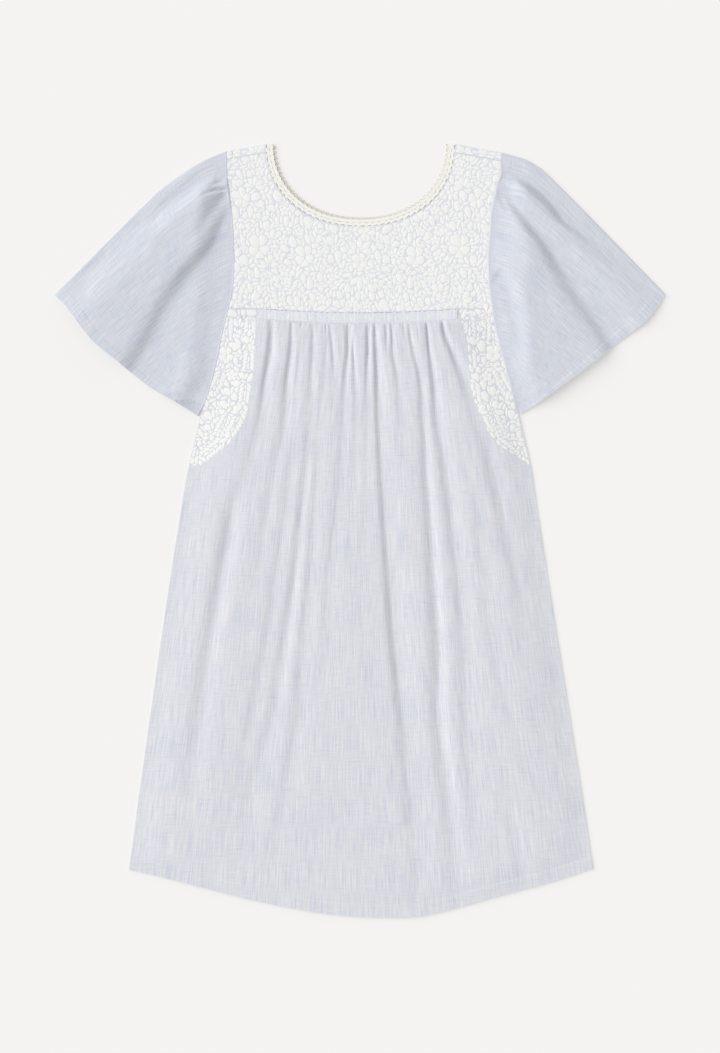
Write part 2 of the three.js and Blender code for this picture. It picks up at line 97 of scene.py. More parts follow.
# %% Light
SURROUND = 0.53
SUN_STRENGTH = 2.2
SUN_FROM = Vector((-1, 0.3, 0.95))
world = bpy.data.worlds.new("soft_surround")
world.use_nodes = True
world.node_tree.nodes["Background"].inputs["Color"].default_value = (1, 1, 1, 1)
world.node_tree.nodes["Background"].inputs["Strength"].default_value = SURROUND
bpy.context.scene.world = world
bpy.ops.object.light_add(type="SUN", location=(-2, 0.6, 2))
sun = bpy.context.object
sun.name = "window_light"
sun.data.energy = SUN_STRENGTH
sun.data.angle = math.radians(60)
sun.rotation_euler = SUN_FROM.to_track_quat("Z", "Y").to_euler()
bpy.context.scene.view_settings.view_transform = "Standard"
share = SUN_STRENGTH * SUN_FROM.normalized().z / math.pi
print("light on a level face:", round(SURROUND + share, 3))

# %% [markdown]
# ## The lines of the pattern
# A sewing pattern is a set of lines: the sides, the hem, the neck and the armholes. They are kept
# here as short tables of real sizes with smooth curves through them, the same as in the solids, so
# that every shell ends where its neighbour starts.

# %% Sizes
Side = namedtuple("Side", "y left right")
Place = namedtuple("Place", "x y")


def rows_of(kind, rows):
    """Rows of plain numbers as rows whose numbers have names."""
    return [kind(*row) for row in rows]


FRONT_FACE = 2.7
TURN_RADIUS = 1.35
SEAM_GAP = 0.12
SHELL = 0.5
NECK_CENTRE_X = 0.5
SHOULDER_Y = 448.8
NECK_HALF_WIDTH = 101.5
NECK_DEPTH = 87.5
NECK_ROUNDNESS = 2.15
BACK_NECK_SHIFT = 3
EDGING_WIDTH = 8.5
SHOULDER_TURN = 10
SHOULDER_SLOPE = 0.18
YOKE_SEAM_Y = 257.5
YOKE_SEAM_DIP = 4.5
BAND_LEFT = -117.5
BAND_RIGHT = 113
BAND_HEIGHT = 11.5
HEM_HEIGHT = 14.5

SIDES = rows_of(Side, [
    (441, -155.4, 165.5), (412, -154.6, 162.6), (382, -151.0, 154.6), (344, -147.4, 150.6),
    (308, -146.7, 148.8), (280, -148.4, 151.0), (257, -153.4, 154.2), (228, -160.5, 159.2),
    (192, -167.8, 168.8), (162, -176.0, 176.6), (132, -185.2, 184.6), (76, -198.4, 197.8),
    (24, -207.6, 205.6), (-80, -223.9, 221.8), (-290, -254.0, 255.0), (-394, -268.2, 270.5),
])
HEM = rows_of(Place, [
    (-268.2, -393.6), (-222, -404), (-129, -427.6), (-50, -443), (0, -447.8), (34, -448.8),
    (66, -447.6), (104, -439.6), (165, -422.5), (225, -406.5), (270.5, -392.4),
])
SLEEVE_TOP = {
    "left": rows_of(Place, [
        (-155.9, 440), (-181, 430), (-208.8, 412.7), (-232, 395.3), (-250.6, 377.9),
        (-302.8, 325.7), (-354.4, 274.1),
    ]),
    "right": rows_of(Place, [
        (166, 438.4), (180, 434.6), (193.7, 430), (206, 422.6), (218.1, 412.7), (270.3, 360.5),
        (354.4, 274.1),
    ]),
}
SLEEVE_HEM = {
    "left": rows_of(Place, [
        (-354.4, 274.1), (-338.7, 257.2), (-310.9, 221.3), (-283, 198.1), (-247.1, 169),
        (-218, 151.7), (-187.2, 133),
    ]),
    "right": rows_of(Place, [
        (354.4, 274.1), (342.2, 256.1), (326, 238.7), (302.8, 221.3), (258.7, 186.5),
        (211.1, 151.7), (186.3, 135.6),
    ]),
}
SLEEVE_FOOT = {"left": 145, "right": 147}
print("pattern tables:", len(SIDES), "side points and", len(HEM), "hem points")

# %% Curves through the tables


def mix(a, b, t):
    return a + (b - a) * t


def smooth(t):
    t = np.clip(t, 0, 1)
    return t * t * (3 - 2 * t)


def read_table(rows, by, want, at):
    keys = np.array([getattr(row, by) for row in rows], float)
    values = np.array([getattr(row, want) for row in rows], float)
    at = np.asarray(at, float)
    if keys[0] > keys[-1]:
        keys, at = -keys, -at
    slopes = np.gradient(values, keys)
    slopes[1:-1] = (values[2:] - values[:-2]) / (keys[2:] - keys[:-2])
    k = np.clip(np.searchsorted(keys, at) - 1, 0, len(keys) - 2)
    gap = keys[k + 1] - keys[k]
    t = np.clip((at - keys[k]) / gap, 0, 1)
    start = values[k] * (1 + 2 * t) * (1 - t) ** 2 + slopes[k] * gap * t * (1 - t) ** 2
    return start + values[k + 1] * t**2 * (3 - 2 * t) + slopes[k + 1] * gap * t**2 * (t - 1)


def left_side(y):
    return read_table(SIDES, "y", "left", y)


def right_side(y):
    return read_table(SIDES, "y", "right", y)


def hem_line(x):
    return read_table(HEM, "x", "y", x)


def yoke_seam(x):
    side = np.minimum(1, np.abs(x) / BAND_RIGHT)
    return YOKE_SEAM_Y - YOKE_SEAM_DIP * (1 - side**2)


def shoulder_at(x):
    return SHOULDER_Y - SHOULDER_SLOPE * (np.abs(x) - NECK_HALF_WIDTH - EDGING_WIDTH)


def by_length(points):
    """A function that gives the place at a share of the length of a line."""
    lengths = np.r_[0, np.cumsum(np.linalg.norm(np.diff(points, axis=0), axis=1))]

    def at(share):
        want = np.asarray(share, float) * lengths[-1]
        return np.stack([np.interp(want, lengths, points[:, k]) for k in range(2)], -1)

    at.length = lengths[-1]
    return at


def line_through(rows, steps=60):
    points = np.array([(row.x, row.y) for row in rows], float)
    padded = np.vstack([points[:1], points, points[-1:]])
    t = np.linspace(0, 1, steps, endpoint=False)[:, None]
    stretches = []
    for before, here, after, beyond in zip(padded, padded[1:], padded[2:], padded[3:]):
        leave, arrive = (after - before) / 2, (beyond - here) / 2
        stretches.append(
            (2 * here - 2 * after + leave + arrive) * t**3
            + (3 * after - 3 * here - 2 * leave - arrive) * t**2
            + leave * t
            + here
        )
    return by_length(np.vstack([*stretches, points[-1:]]))


def neck_line(out, shift):
    turn = np.linspace(0, math.pi, 721)
    across = np.sign(np.cos(turn)) * np.abs(np.cos(turn)) ** (2 / NECK_ROUNDNESS)
    down = np.abs(np.sin(turn)) ** (2 / NECK_ROUNDNESS)
    x = NECK_CENTRE_X + shift * np.sqrt(np.abs(np.sin(turn))) - (NECK_HALF_WIDTH + out) * across
    y = SHOULDER_Y - (NECK_DEPTH + out) * down
    return by_length(np.stack([x, y], -1))


print("front neck line in mm:", round(neck_line(0, 0).length))

# %% [markdown]
# ## How cloth folds
# Each fold is a soft trough, or a ridge where its depth is negative, along a smooth line. A
# gather is narrow and deep where it leaves the seam, and it widens and fades on its way down. A
# fold that leans is steeper on one side, which gives the crisp line of light beside a dark band.
# They are listed one by one, because no two gathers of a real skirt are alike.

# %% Fold shapes
Fold = namedtuple("Fold", "start via end deep low wide spread lean", defaults=(0,))
FOLD_STEPS = 16
FOLD_FADE = 0.1
RIPPLES = 9


def fold_line(fold):
    start, via, end = (np.array(place, float) for place in (fold.start, fold.via, fold.end))
    bend = 2 * via - (start + end) / 2
    t = np.linspace(0, 1, FOLD_STEPS + 1)[:, None]
    return start * (1 - t) ** 2 + 2 * bend * t * (1 - t) + end * t**2


def read_fold(fold, x, y):
    line = fold_line(fold)
    best = np.full(x.shape, np.inf)
    share = np.zeros(x.shape)
    side = np.zeros(x.shape)
    for k in range(FOLD_STEPS):
        along = line[k + 1] - line[k]
        gone = (x - line[k, 0], y - line[k, 1])
        t = np.clip((gone[0] * along[0] + gone[1] * along[1]) / (along @ along), 0, 1)
        away = np.hypot(gone[0] - t * along[0], gone[1] - t * along[1])
        near = away < best
        best = np.where(near, away, best)
        share = np.where(near, (k + t) / FOLD_STEPS, share)
        side = np.where(near, np.sign(gone[1] * along[0] - gone[0] * along[1]), side)
    fade = smooth(share / FOLD_FADE) * smooth((1 - share) / (2 * FOLD_FADE))
    wide = mix(fold.wide, fold.spread, share) * (1 + fold.lean * side)
    return mix(fold.deep, fold.low, share) * fade * np.exp(-((best / wide) ** 2))


def read_folds(folds, x, y):
    return sum(read_fold(fold, x, y) for fold in folds)


def ripples(x, y, seed, size):
    """A gentle unevenness with features of about `size` across and six times that along."""
    rng = np.random.default_rng(seed)
    total = np.zeros(np.shape(x))
    for _ in range(RIPPLES):
        turn = rng.normal(0, 0.25)
        across = (x * math.cos(turn) + y * math.sin(turn)) / (size * rng.uniform(0.7, 1.6))
        along = (y * math.cos(turn) - x * math.sin(turn)) / (6 * size * rng.uniform(0.7, 1.6))
        total += np.sin(2 * math.pi * across + rng.uniform(0, 7)) * np.cos(
            2 * math.pi * along + rng.uniform(0, 7)
        )
    return total / RIPPLES


def rippled(layers, x, y):
    """Ripples on ripples: each layer has its height, seed and size."""
    return sum(high * ripples(x, y, seed, size) for high, seed, size in layers)


print("fold helpers ready")

# %% Creases of the skirt
Crease = namedtuple("Crease", "y x deep left right")
SKIRT_TABLES = {
    "under the left flowers": [
        (246, -103, 1.2, 2.6, 5), (210, -104, 2.8, 5, 8), (175, -110, 2.6, 4, 9),
        (128, -115, 1.5, 6, 12), (70, -129, 0.7, 7, 14), (20, -140, 0, 7, 14),
    ],
    "second gather": [
        (246, -79, 0.4, 2.2, 4), (210, -80, 2.1, 3.6, 5), (175, -84.5, 2.5, 4.4, 9),
        (128, -86, 1.8, 6.2, 8), (70, -98, 0.9, 6.4, 6), (12, -109, 1, 5.5, 6),
        (-57, -119, 0.5, 6, 9), (-120, -130, 0, 7, 10),
    ],
    "third gather": [
        (225, -69, 0, 2.4, 4), (200, -71, 0.7, 2.6, 4), (128, -76, 0.4, 4, 6),
        (70, -80.5, 0.9, 6, 8), (12, -86.5, 1.1, 6, 8), (-57, -97.5, 1.2, 5.6, 9),
        (-127, -108, 1.4, 6.6, 12), (-220, -126, 1.1, 7, 14), (-312, -145, 0.6, 8, 14),
        (-400, -162, 0, 8, 14),
    ],
    "long gather on the left": [
        (246, -56, 0.6, 2.2, 4), (225, -54.5, 1.2, 2.6, 5), (175, -56, 1, 4.6, 6),
        (128, -57.5, 0.9, 6, 6), (70, -62.5, 1.5, 5.4, 5.5), (12, -68.5, 1.7, 5.6, 5.5),
        (-57, -75.5, 2.3, 6.6, 6), (-127, -86, 2.6, 8, 7), (-220, -101, 2, 8.6, 10),
        (-312, -127, 1.3, 9, 16), (-400, -146, 0, 9, 16),
    ],
    "beside it": [
        (230, -38, 0, 2, 4), (205, -39.5, 0.5, 3, 5), (128, -47, 0.5, 4.6, 7), (70, -49.5, 1, 5, 8),
        (12, -53.5, 1.1, 5.4, 9), (-57, -58, 1.4, 6, 10), (-127, -64.5, 1.4, 7, 12),
        (-220, -72, 1.5, 7, 14), (-312, -87, 1, 8, 14), (-400, -100, 0, 8, 14),
    ],
    "short one": [
        (246, -36, 0.6, 2.2, 4), (222, -33, 1.3, 2.8, 4), (200, -31, 1.2, 3, 5),
        (170, -30, 0.4, 4, 6), (120, -31, 0, 4, 6),
    ],
    "left of the middle": [
        (246, -14, 0.8, 2.4, 4), (225, -14, 2, 3, 4.5), (205, -14, 2, 3.4, 5),
        (175, -17, 1.4, 4, 6), (128, -19, 0.8, 4.6, 7), (70, -21.5, 1.2, 6, 8),
        (12, -27, 1.1, 6, 9), (-57, -34.5, 1, 7, 12), (-127, -38, 0.9, 8, 14),
        (-220, -50, 0, 8, 14),
    ],
    "close beside it": [
        (232, -7.5, 0, 2.2, 3), (210, -7.6, 2.3, 2.8, 3.5), (190, -6.6, 1.6, 3, 4),
        (170, -5.4, 1.1, 3.6, 5), (128, -4, 0.9, 4.4, 7), (70, -7, 0.8, 5, 9), (0, -10, 0.4, 6, 10),
        (-60, -12, 0, 6, 10),
    ],
    "sharp one in the middle": [
        (246, 8.4, 0.7, 2, 3), (225, 8.8, 2, 2.4, 3), (208, 9.2, 3, 2.8, 3), (190, 8.6, 1.6, 3, 4),
        (165, 8.2, 0.8, 3.4, 5), (70, 8, 0.6, 5, 8), (-57, 3, 0.5, 6, 10), (-120, 0, 0, 6, 10),
    ],
    "the main crease": [
        (246, 17, 1, 2.2, 4), (225, 17.5, 2.2, 2.6, 5), (175, 20, 2.9, 3.2, 10),
        (128, 21.6, 2.7, 3.6, 13), (70, 25, 2.6, 4.2, 15), (12, 28.8, 2.9, 4.6, 17),
        (-57, 34.2, 3.4, 5.4, 20), (-127, 39.8, 3.6, 5.8, 22), (-220, 50.4, 2.9, 7.2, 24),
        (-312, 60.6, 2.2, 9, 26), (-393, 66, 1.2, 9, 24), (-440, 68, 0.6, 9, 24),
    ],
    "right of the middle": [
        (246, 36, 0.5, 2, 3), (228, 37.4, 1.3, 2.2, 3.6), (205, 38.4, 1.4, 3, 5),
        (175, 44, 0.9, 4, 8), (128, 46.5, 0.6, 5, 9), (70, 50, 0.2, 5, 9), (20, 52, 0, 5, 9),
    ],
    "short one at its side": [
        (244, 29.5, 0.5, 1.8, 3), (230, 30.5, 1.2, 2, 3), (214, 31, 0.6, 2.2, 3),
        (200, 31.5, 0, 2.2, 3),
    ],
    "long one on the right": [
        (246, 56.4, 0.5, 2, 3), (228, 58, 1.1, 2.4, 4), (205, 63, 1.1, 3.4, 6),
        (175, 70.4, 1.7, 4.4, 6), (128, 74.2, 2.2, 5, 5.5), (70, 77.4, 2.8, 5.8, 5.5),
        (12, 82, 3.1, 7.2, 6), (-57, 86.4, 3.4, 8.4, 6.5), (-127, 91.4, 3.6, 9, 6.5),
        (-220, 92.5, 3.6, 10, 8), (-312, 103.6, 2.6, 10, 10), (-393, 112, 1.7, 11, 14),
        (-440, 117, 0.6, 11, 14),
    ],
    "outer one on the right": [
        (246, 76, 0.6, 2.2, 3), (228, 78, 1.6, 2.6, 4), (205, 80.8, 1.8, 3, 5),
        (175, 85.4, 2.9, 4, 7), (128, 90, 2.8, 6, 9), (70, 99.8, 2.6, 6.4, 10),
        (12, 107, 2.8, 7, 12), (-57, 115, 2.1, 7, 14), (-127, 120.4, 1.8, 8, 15),
        (-220, 125, 1.5, 8, 16), (-312, 129.6, 1.1, 8, 16), (-400, 134, 0, 8, 16),
    ],
    "last one on the right": [
        (246, 94, 0.8, 2.6, 4), (228, 98, 2.8, 3.4, 5), (205, 108, 2.8, 5, 9),
        (175, 121, 2.2, 8, 12), (128, 136, 1.2, 8, 12), (70, 155, 3.4, 7.4, 12),
        (12, 168, 2.9, 8, 14), (-57, 184, 2.2, 8, 14), (-130, 196, 0, 8, 14),
    ],
    "soft valley on the right": [
        (60, 134, 0, 8, 14), (12, 139, 1, 8, 14), (-57, 145, 1.2, 8, 14), (-127, 154, 1, 8, 14),
        (-220, 178, 0.6, 8, 16), (-300, 206, 0.5, 8, 16), (-370, 222, 0, 8, 16),
    ],
    "big valley on the left": [
        (70, -140, 0, 8, 9), (35, -145, 2.2, 9, 10), (12, -149, 3.8, 9, 11),
        (-57, -161.4, 3.8, 9.4, 12), (-127, -173, 3.2, 9.6, 12), (-220, -187, 3, 11, 14),
        (-300, -198, 1.2, 12, 16), (-370, -208, 0, 12, 16),
    ],
    "small one at the hem": [
        (-300, 170, 0, 6, 9), (-350, 178, 0.9, 6, 9), (-393, 186, 1.1, 6, 9),
        (-425, 191, 0.5, 6, 9),
    ],
}
SKIRT_CREASES = {name: rows_of(Crease, rows) for name, rows in SKIRT_TABLES.items()}
print("creases on the front skirt:", len(SKIRT_CREASES))

# %% Height of the skirt
SKIRT_PUFF = {"gathers": 4.6, "hip": 4, "hem": 2.6, "hip_share": 0.5}
SIDE_RISE = 64
GATHER_PULL = 1.45
GATHER_PINCH = 0.7
GATHER_RISE = 3.5
GATHER_REACH = {"from": 110, "over": 120}
PUCKERS = 78
PUCKER_LENGTH = (6, 30)
PUCKER_WIDTH = (0.9, 1.5)
PUCKER_DEPTH = (0.25, 0.85)
PUCKER_LEAN = 0.12
PUCKER_FADE = 0.12
SLIT_FROM = 0.72
SLIT_LONGER = 1.7
SLIT_DEEPER = 2.3
SLIT_WIDTH = 1.1
SIDE_FALL = 30
SKIRT_UNEVEN = ((0.4, 3, 26), (0.16, 4, 9))
HEM_TURN = 0.35
HEM_EDGE = 0.8
EDGE_FACE = 1.3
UNDERARM = {"high": 158, "low": 105}
HEM_FALL = 34
LIFT_AT_HEM = 0.5
HEM_LOWEST_Y = -448.8


def read_crease(rows, x, y, pinch=1):
    """The depth of one crease at each place, with its own width on the left and on the right."""
    middle = read_table(rows, "y", "x", y)
    deep = np.maximum(0, np.interp(-y, [-row.y for row in rows], [row.deep for row in rows]))
    deep = np.where((y > rows[0].y) | (y < rows[-1].y), 0, deep)
    wide = np.where(
        x < middle, read_table(rows, "y", "left", y), read_table(rows, "y", "right", y)
    )
    return deep * np.exp(-(((x - middle) / (wide * pinch)) ** 2))


def near_band(y, value):
    """Deeper and narrower creases where they leave the band."""
    return mix(1, value, smooth((y - GATHER_REACH["from"]) / GATHER_REACH["over"]))


def skirt_puckers(x, y):
    """Short fine creases where the gathers leave the band."""
    rng = np.random.default_rng(11)
    total = np.zeros(np.shape(x))
    for at in np.linspace(BAND_LEFT + 3, BAND_RIGHT - 3, PUCKERS):
        start_x = at + rng.normal(0, 1)
        length = rng.uniform(*PUCKER_LENGTH)
        wide = rng.uniform(*PUCKER_WIDTH)
        deep = rng.uniform(*PUCKER_DEPTH)
        if deep > SLIT_FROM:
            length, deep, wide = SLIT_LONGER * length, SLIT_DEEPER * deep, SLIT_WIDTH
        gone = (yoke_seam(x) - BAND_HEIGHT - y) / length
        line_x = start_x * (1 + PUCKER_LEAN * gone * length / 100)
        fade = smooth(gone / PUCKER_FADE) * smooth(1 - gone)
        total += deep * fade * np.exp(-(((x - line_x) / wide) ** 2))
    return total


def skirt_height(x, y):
    """How high the front skirt's outer face stands."""
    side_y = np.maximum(y, HEM[0].y)
    side_gap = np.minimum(x - left_side(side_y), right_side(side_y) - x)
    below = yoke_seam(x) - BAND_HEIGHT - y
    down = below / (YOKE_SEAM_Y - HEM_LOWEST_Y)
    share = SKIRT_PUFF["hip_share"]
    upper = mix(SKIRT_PUFF["gathers"], SKIRT_PUFF["hip"], smooth(down / share))
    lower = mix(SKIRT_PUFF["hip"], SKIRT_PUFF["hem"], smooth((down - share) / (1 - share)))
    puff = np.where(down < share, upper, lower)
    from_side = smooth(side_gap / SIDE_RISE)
    rise = from_side * smooth(below / GATHER_RISE)
    pinch = near_band(y, GATHER_PINCH)
    creases = sum(read_crease(rows, x, y, pinch) for rows in SKIRT_CREASES.values())
    creases = creases * near_band(y, GATHER_PULL)
    rough = rippled(SKIRT_UNEVEN, x, y)
    lift = rise * np.maximum(0, puff - creases - skirt_puckers(x, y) + rough)
    hem_gap = y - hem_line(x)
    seam_share = smooth((UNDERARM["high"] - y) / (UNDERARM["high"] - UNDERARM["low"]))
    at_edge = 1 - smooth(side_gap / SIDE_FALL) * smooth(hem_gap / HEM_FALL)
    fall = seam_share * at_edge * (FRONT_FACE - EDGE_FACE)
    hem_turn = HEM_TURN * smooth((HEM_HEIGHT - hem_gap) / HEM_EDGE)
    lift = lift * mix(LIFT_AT_HEM, 1, smooth(hem_gap / HEM_FALL))
    return FRONT_FACE + lift - fall + hem_turn


print("and short puckers below the band:", PUCKERS)

# %% [markdown]
# ## Slub cotton
# The cloth is woven from uneven yarns, blue and white. Close up it is a fine grid, and from a step
# away it shows long pale and blue streaks along the warp and shorter ones across it. Noise that is
# stretched along one direction of the cloth's own UV map gives such streaks, and they then follow
# the folds. The same noise drives a very low bump.

# %% Cotton material
COTTON_DEEP = (0.54, 0.58, 0.70)
COTTON_MEAN = (0.694, 0.708, 0.748)
COTTON_PALE = (0.80, 0.80, 0.81)
SLUB_FROM = 0.58
SLUB_DEPTH = 0.5
BUMP_DISTANCE = 0.0003


class Look:
    """A new material, with the few kinds of node that cloth and thread need."""

    def __init__(self, name, roughness, sheen):
        self.material = bpy.data.materials.new(name)
        self.material.use_nodes = True
        self.tree = self.material.node_tree
        self.surface = self.tree.nodes["Principled BSDF"]
        fixed = {"Specular IOR Level": 0.25, "Sheen Roughness": 0.5}
        self.give(self.surface, {"Roughness": roughness, "Sheen Weight": sheen, **fixed})
        self.uv = self.tree.nodes.new("ShaderNodeUVMap").outputs["UV"]

    def give(self, node, values):
        """Sets sockets to a constant, or links them to another node's output."""
        for socket, value in values.items():
            if isinstance(value, bpy.types.NodeSocket):
                self.tree.links.new(value, node.inputs[socket])
            else:
                node.inputs[socket].default_value = value

    def node(self, kind, values):
        node = self.tree.nodes.new("ShaderNode" + kind)
        self.give(node, values)
        return node

    def noise(self, per_metre, detail, seed):
        """Noise with its own number of features a metre across and along the cloth."""
        place = (seed * 3.7, seed * 1.9, seed)
        scale = (*per_metre, 1)
        mapping = self.node("Mapping", {"Vector": self.uv, "Location": place, "Scale": scale})
        vector = mapping.outputs["Vector"]
        fixed = {"Scale": 1, "Roughness": 0.6}
        return self.node("TexNoise", {"Vector": vector, "Detail": detail, **fixed}).outputs["Fac"]

    def maths(self, operation, first, second):
        node = self.node("Math", {0: first, 1: second})
        node.operation = operation
        return node.outputs[0]

    def weighted(self, *parts):
        """The sum of several values, each times its own share."""
        scaled = [self.maths("MULTIPLY", value, share) for value, share in parts]
        total = scaled[0]
        for part in scaled[1:]:
            total = self.maths("ADD", total, part)
        return total

    def colour(self, factor, stops):
        ramp = self.node("ValToRGB", {"Fac": factor})
        elements = ramp.color_ramp.elements
        for element, (position, colour) in zip(elements, (stops[0], stops[-1])):
            element.position = position
            element.color = (*colour, 1)
        for position, colour in stops[1:-1]:
            elements.new(position).color = (*colour, 1)
        self.give(self.surface, {"Base Color": ramp.outputs["Color"]})

    def bump(self, height, strength):
        values = {"Height": height, "Distance": BUMP_DISTANCE, "Strength": strength}
        self.give(self.surface, {"Normal": self.node("Bump", values).outputs["Normal"]})


def slub_cotton(name, stops):
    look = Look(name, 0.92, 0.12)
    warp, weft = look.noise((780, 26), 2, 1), look.noise((50, 850), 2, 3)
    slub, cloud = look.noise((26, 420), 2, 4), look.noise((30, 12), 3, 5)
    yarns = look.weighted((warp, 0.62), (weft, 0.26), (cloud, 0.12))
    knots = look.maths("MAXIMUM", look.maths("SUBTRACT", slub, SLUB_FROM), 0)
    tone = look.maths("SUBTRACT", yarns, look.maths("MULTIPLY", knots, SLUB_DEPTH))
    look.colour(tone, stops)
    look.bump(yarns, 0.4)
    return look.material


SKIRT_STOPS = [(0.3, COTTON_DEEP), (0.5, COTTON_MEAN), (0.66, COTTON_PALE)]
# The sleeves and the armhole seams get a darker, bluer copy of the same cotton: painted shade,
# since they are the same cloth as the skirt.
SLEEVE_PAINTED_SHADE = np.array([0.925, 0.938, 0.972])
SLEEVE_PAINTED_SHADE_STOPS = [(stop, tuple(SLEEVE_PAINTED_SHADE * colour)) for stop, colour in SKIRT_STOPS]
# The yokes and the gather band get a paler copy of the same cotton: painted light, which offsets
# the shade that falls between the petals.
YOKE_PAINTED_LIGHT_STOPS = [(0.3, (0.62, 0.66, 0.76)), (0.5, (0.74, 0.76, 0.81)), (0.66, (0.83, 0.835, 0.855))]
cotton = slub_cotton("slub_cotton", SKIRT_STOPS)
yoke_cotton_painted_light = slub_cotton("slub_cotton_painted_paler_for_the_yoke_and_band", YOKE_PAINTED_LIGHT_STOPS)
sleeve_cotton_painted_shade = slub_cotton("slub_cotton_painted_darker_on_the_sleeves", SLEEVE_PAINTED_SHADE_STOPS)
print("materials:", cotton.name, "and", sleeve_cotton_painted_shade.name)

# %% [markdown]
# ## A sheet of cloth
# Every panel is a grid of places with a UV map that gives each place on the flat cloth, so the
# yarns run where a cutter would lay them. Solidify turns the sheet into a thin closed shell. A
# sleeve is the same grid closed into a tube.

# %% Sheet builder
RIM_ANGLE = 45


def grid_faces(rows, columns, closed=False):
    last = columns if closed else columns - 1
    i, j = np.meshgrid(np.arange(rows - 1), np.arange(last), indexing="ij")
    here = i * columns + j
    beside = i * columns + (j + 1) % columns
    return np.stack([here, beside, beside + columns, here + columns], -1).reshape(-1, 4)


def make_mesh(name, points, faces, uv, material, layer="cloth"):
    """A mesh object from places in mm. `uv` holds one place on the flat cloth a corner."""
    mesh = bpy.data.meshes.new(name)
    mesh.from_pydata((points.reshape(-1, 3) * MM).tolist(), [], faces)
    mesh.uv_layers.new(name=layer).data.foreach_set("uv", (uv * MM).ravel())
    mesh.polygons.foreach_set("use_smooth", [True] * len(mesh.polygons))
    mesh.update()
    mesh.materials.append(material)
    piece = bpy.data.objects.new(name, mesh)
    bpy.context.collection.objects.link(piece)
    return piece


def cloth_sheet(name, points, flat, material, closed=False, flip=False):
    """A thin shell from a grid of places and the grid of their places on the flat cloth."""
    rows, columns = points.shape[:2]
    faces = grid_faces(rows, columns, closed)
    if closed:
        flat = np.concatenate([flat, flat[:, :1] + [[[flat[0, -1, 0] - flat[0, 0, 0], 0]]]], 1)
    corners = grid_faces(rows, flat.shape[1])
    if flip:
        faces, corners = faces[:, ::-1], corners[:, ::-1]
    uv = flat.reshape(-1, 2)[corners.ravel()]
    piece = make_mesh(name, points, faces.tolist(), uv, material)
    solidify = piece.modifiers.new("shell", "SOLIDIFY")
    solidify.thickness = SHELL * MM
    solidify.offset = 0
    bpy.context.view_layer.objects.active = piece
    piece.select_set(True)
    bpy.ops.object.modifier_apply(modifier="shell")
    bpy.ops.object.shade_smooth_by_angle(angle=math.radians(RIM_ANGLE))
    piece.select_set(False)
    print(name, "faces:", len(piece.data.polygons))
    return piece


def settle(piece, slot, *nodes):
    """Rides on the dress and stands for its node. The slot is not used."""
    if nodes:
        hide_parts(*nodes)
    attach(piece, "root")


print("sheet builder ready")

# %% [markdown]
# ## The skirt
# Two panels, wider at the hem than at the waist seam. The front one is gathered under the band, so
# its grid is closest there. The back one lies on the table, hidden under the front one, so it is a
# plain flat sheet.

# %% Front skirt
FLAT_HEM_WIDTH = 548
SIDE_SHARE = 0.12
SIDE_LENGTH = 651
TOP_CLOSER = 1.35
ROWS_AT_HEM = np.array([16.5, 15.6, 14.9, 14.2, 13, 8, 1.5])


def skirt_grid(gathered, side, rows):
    across = np.concatenate([
        np.linspace(0, SIDE_SHARE, side, endpoint=False),
        np.linspace(SIDE_SHARE, 1 - SIDE_SHARE, gathered),
        np.linspace(1 - SIDE_SHARE, 1, side + 1)[1:],
    ])
    share = np.linspace(0, 1, rows) ** TOP_CLOSER
    share = np.unique(np.concatenate([share, 1 - ROWS_AT_HEM / SIDE_LENGTH]))
    share, across = np.meshgrid(share, across, indexing="ij")
    top_y = yoke_seam(mix(left_side(YOKE_SEAM_Y), right_side(YOKE_SEAM_Y), across)) - SEAM_GAP
    hem_y = hem_line(mix(HEM[0].x, HEM[-1].x, across))
    side_foot = np.where(across < 0.5, HEM[0].y, HEM[-1].y)
    side_y = mix(YOKE_SEAM_Y - SEAM_GAP, side_foot, share)
    x = mix(left_side(side_y), right_side(side_y), across)
    y = mix(top_y, hem_y, share)
    flat = np.stack([(across - 0.5) * FLAT_HEM_WIDTH, y], -1)
    return x, y, flat


x, y, flat = skirt_grid(gathered=196, side=16, rows=176)
points = np.stack([x, y, skirt_height(x, y) - SHELL / 2], -1)
front_skirt = cloth_sheet("front_skirt_cloth", points, flat, cotton, flip=True)
settle(front_skirt, "slub_cotton", "front_skirt")

# %% Back skirt
BACK_MIDDLE = SHELL / 2
x, y, flat = skirt_grid(gathered=60, side=5, rows=60)
points = np.stack([x, y, np.full(x.shape, BACK_MIDDLE)], -1)
back_skirt = cloth_sheet("back_skirt_cloth", points, flat, cotton, flip=True)
settle(back_skirt, "slub_cotton", "back_skirt")

# %% [markdown]
# ## The sleeves
# A flutter sleeve is a fan of cloth, closed under the arm and gathered at the shoulder. Laid flat
# it is a tube that is folded along its top edge. Its place is blended from its four edges: the
# armhole, the fold, the hem and the short seam under the arm. The front layer stands up in a few
# large soft troughs that start at the gathers.

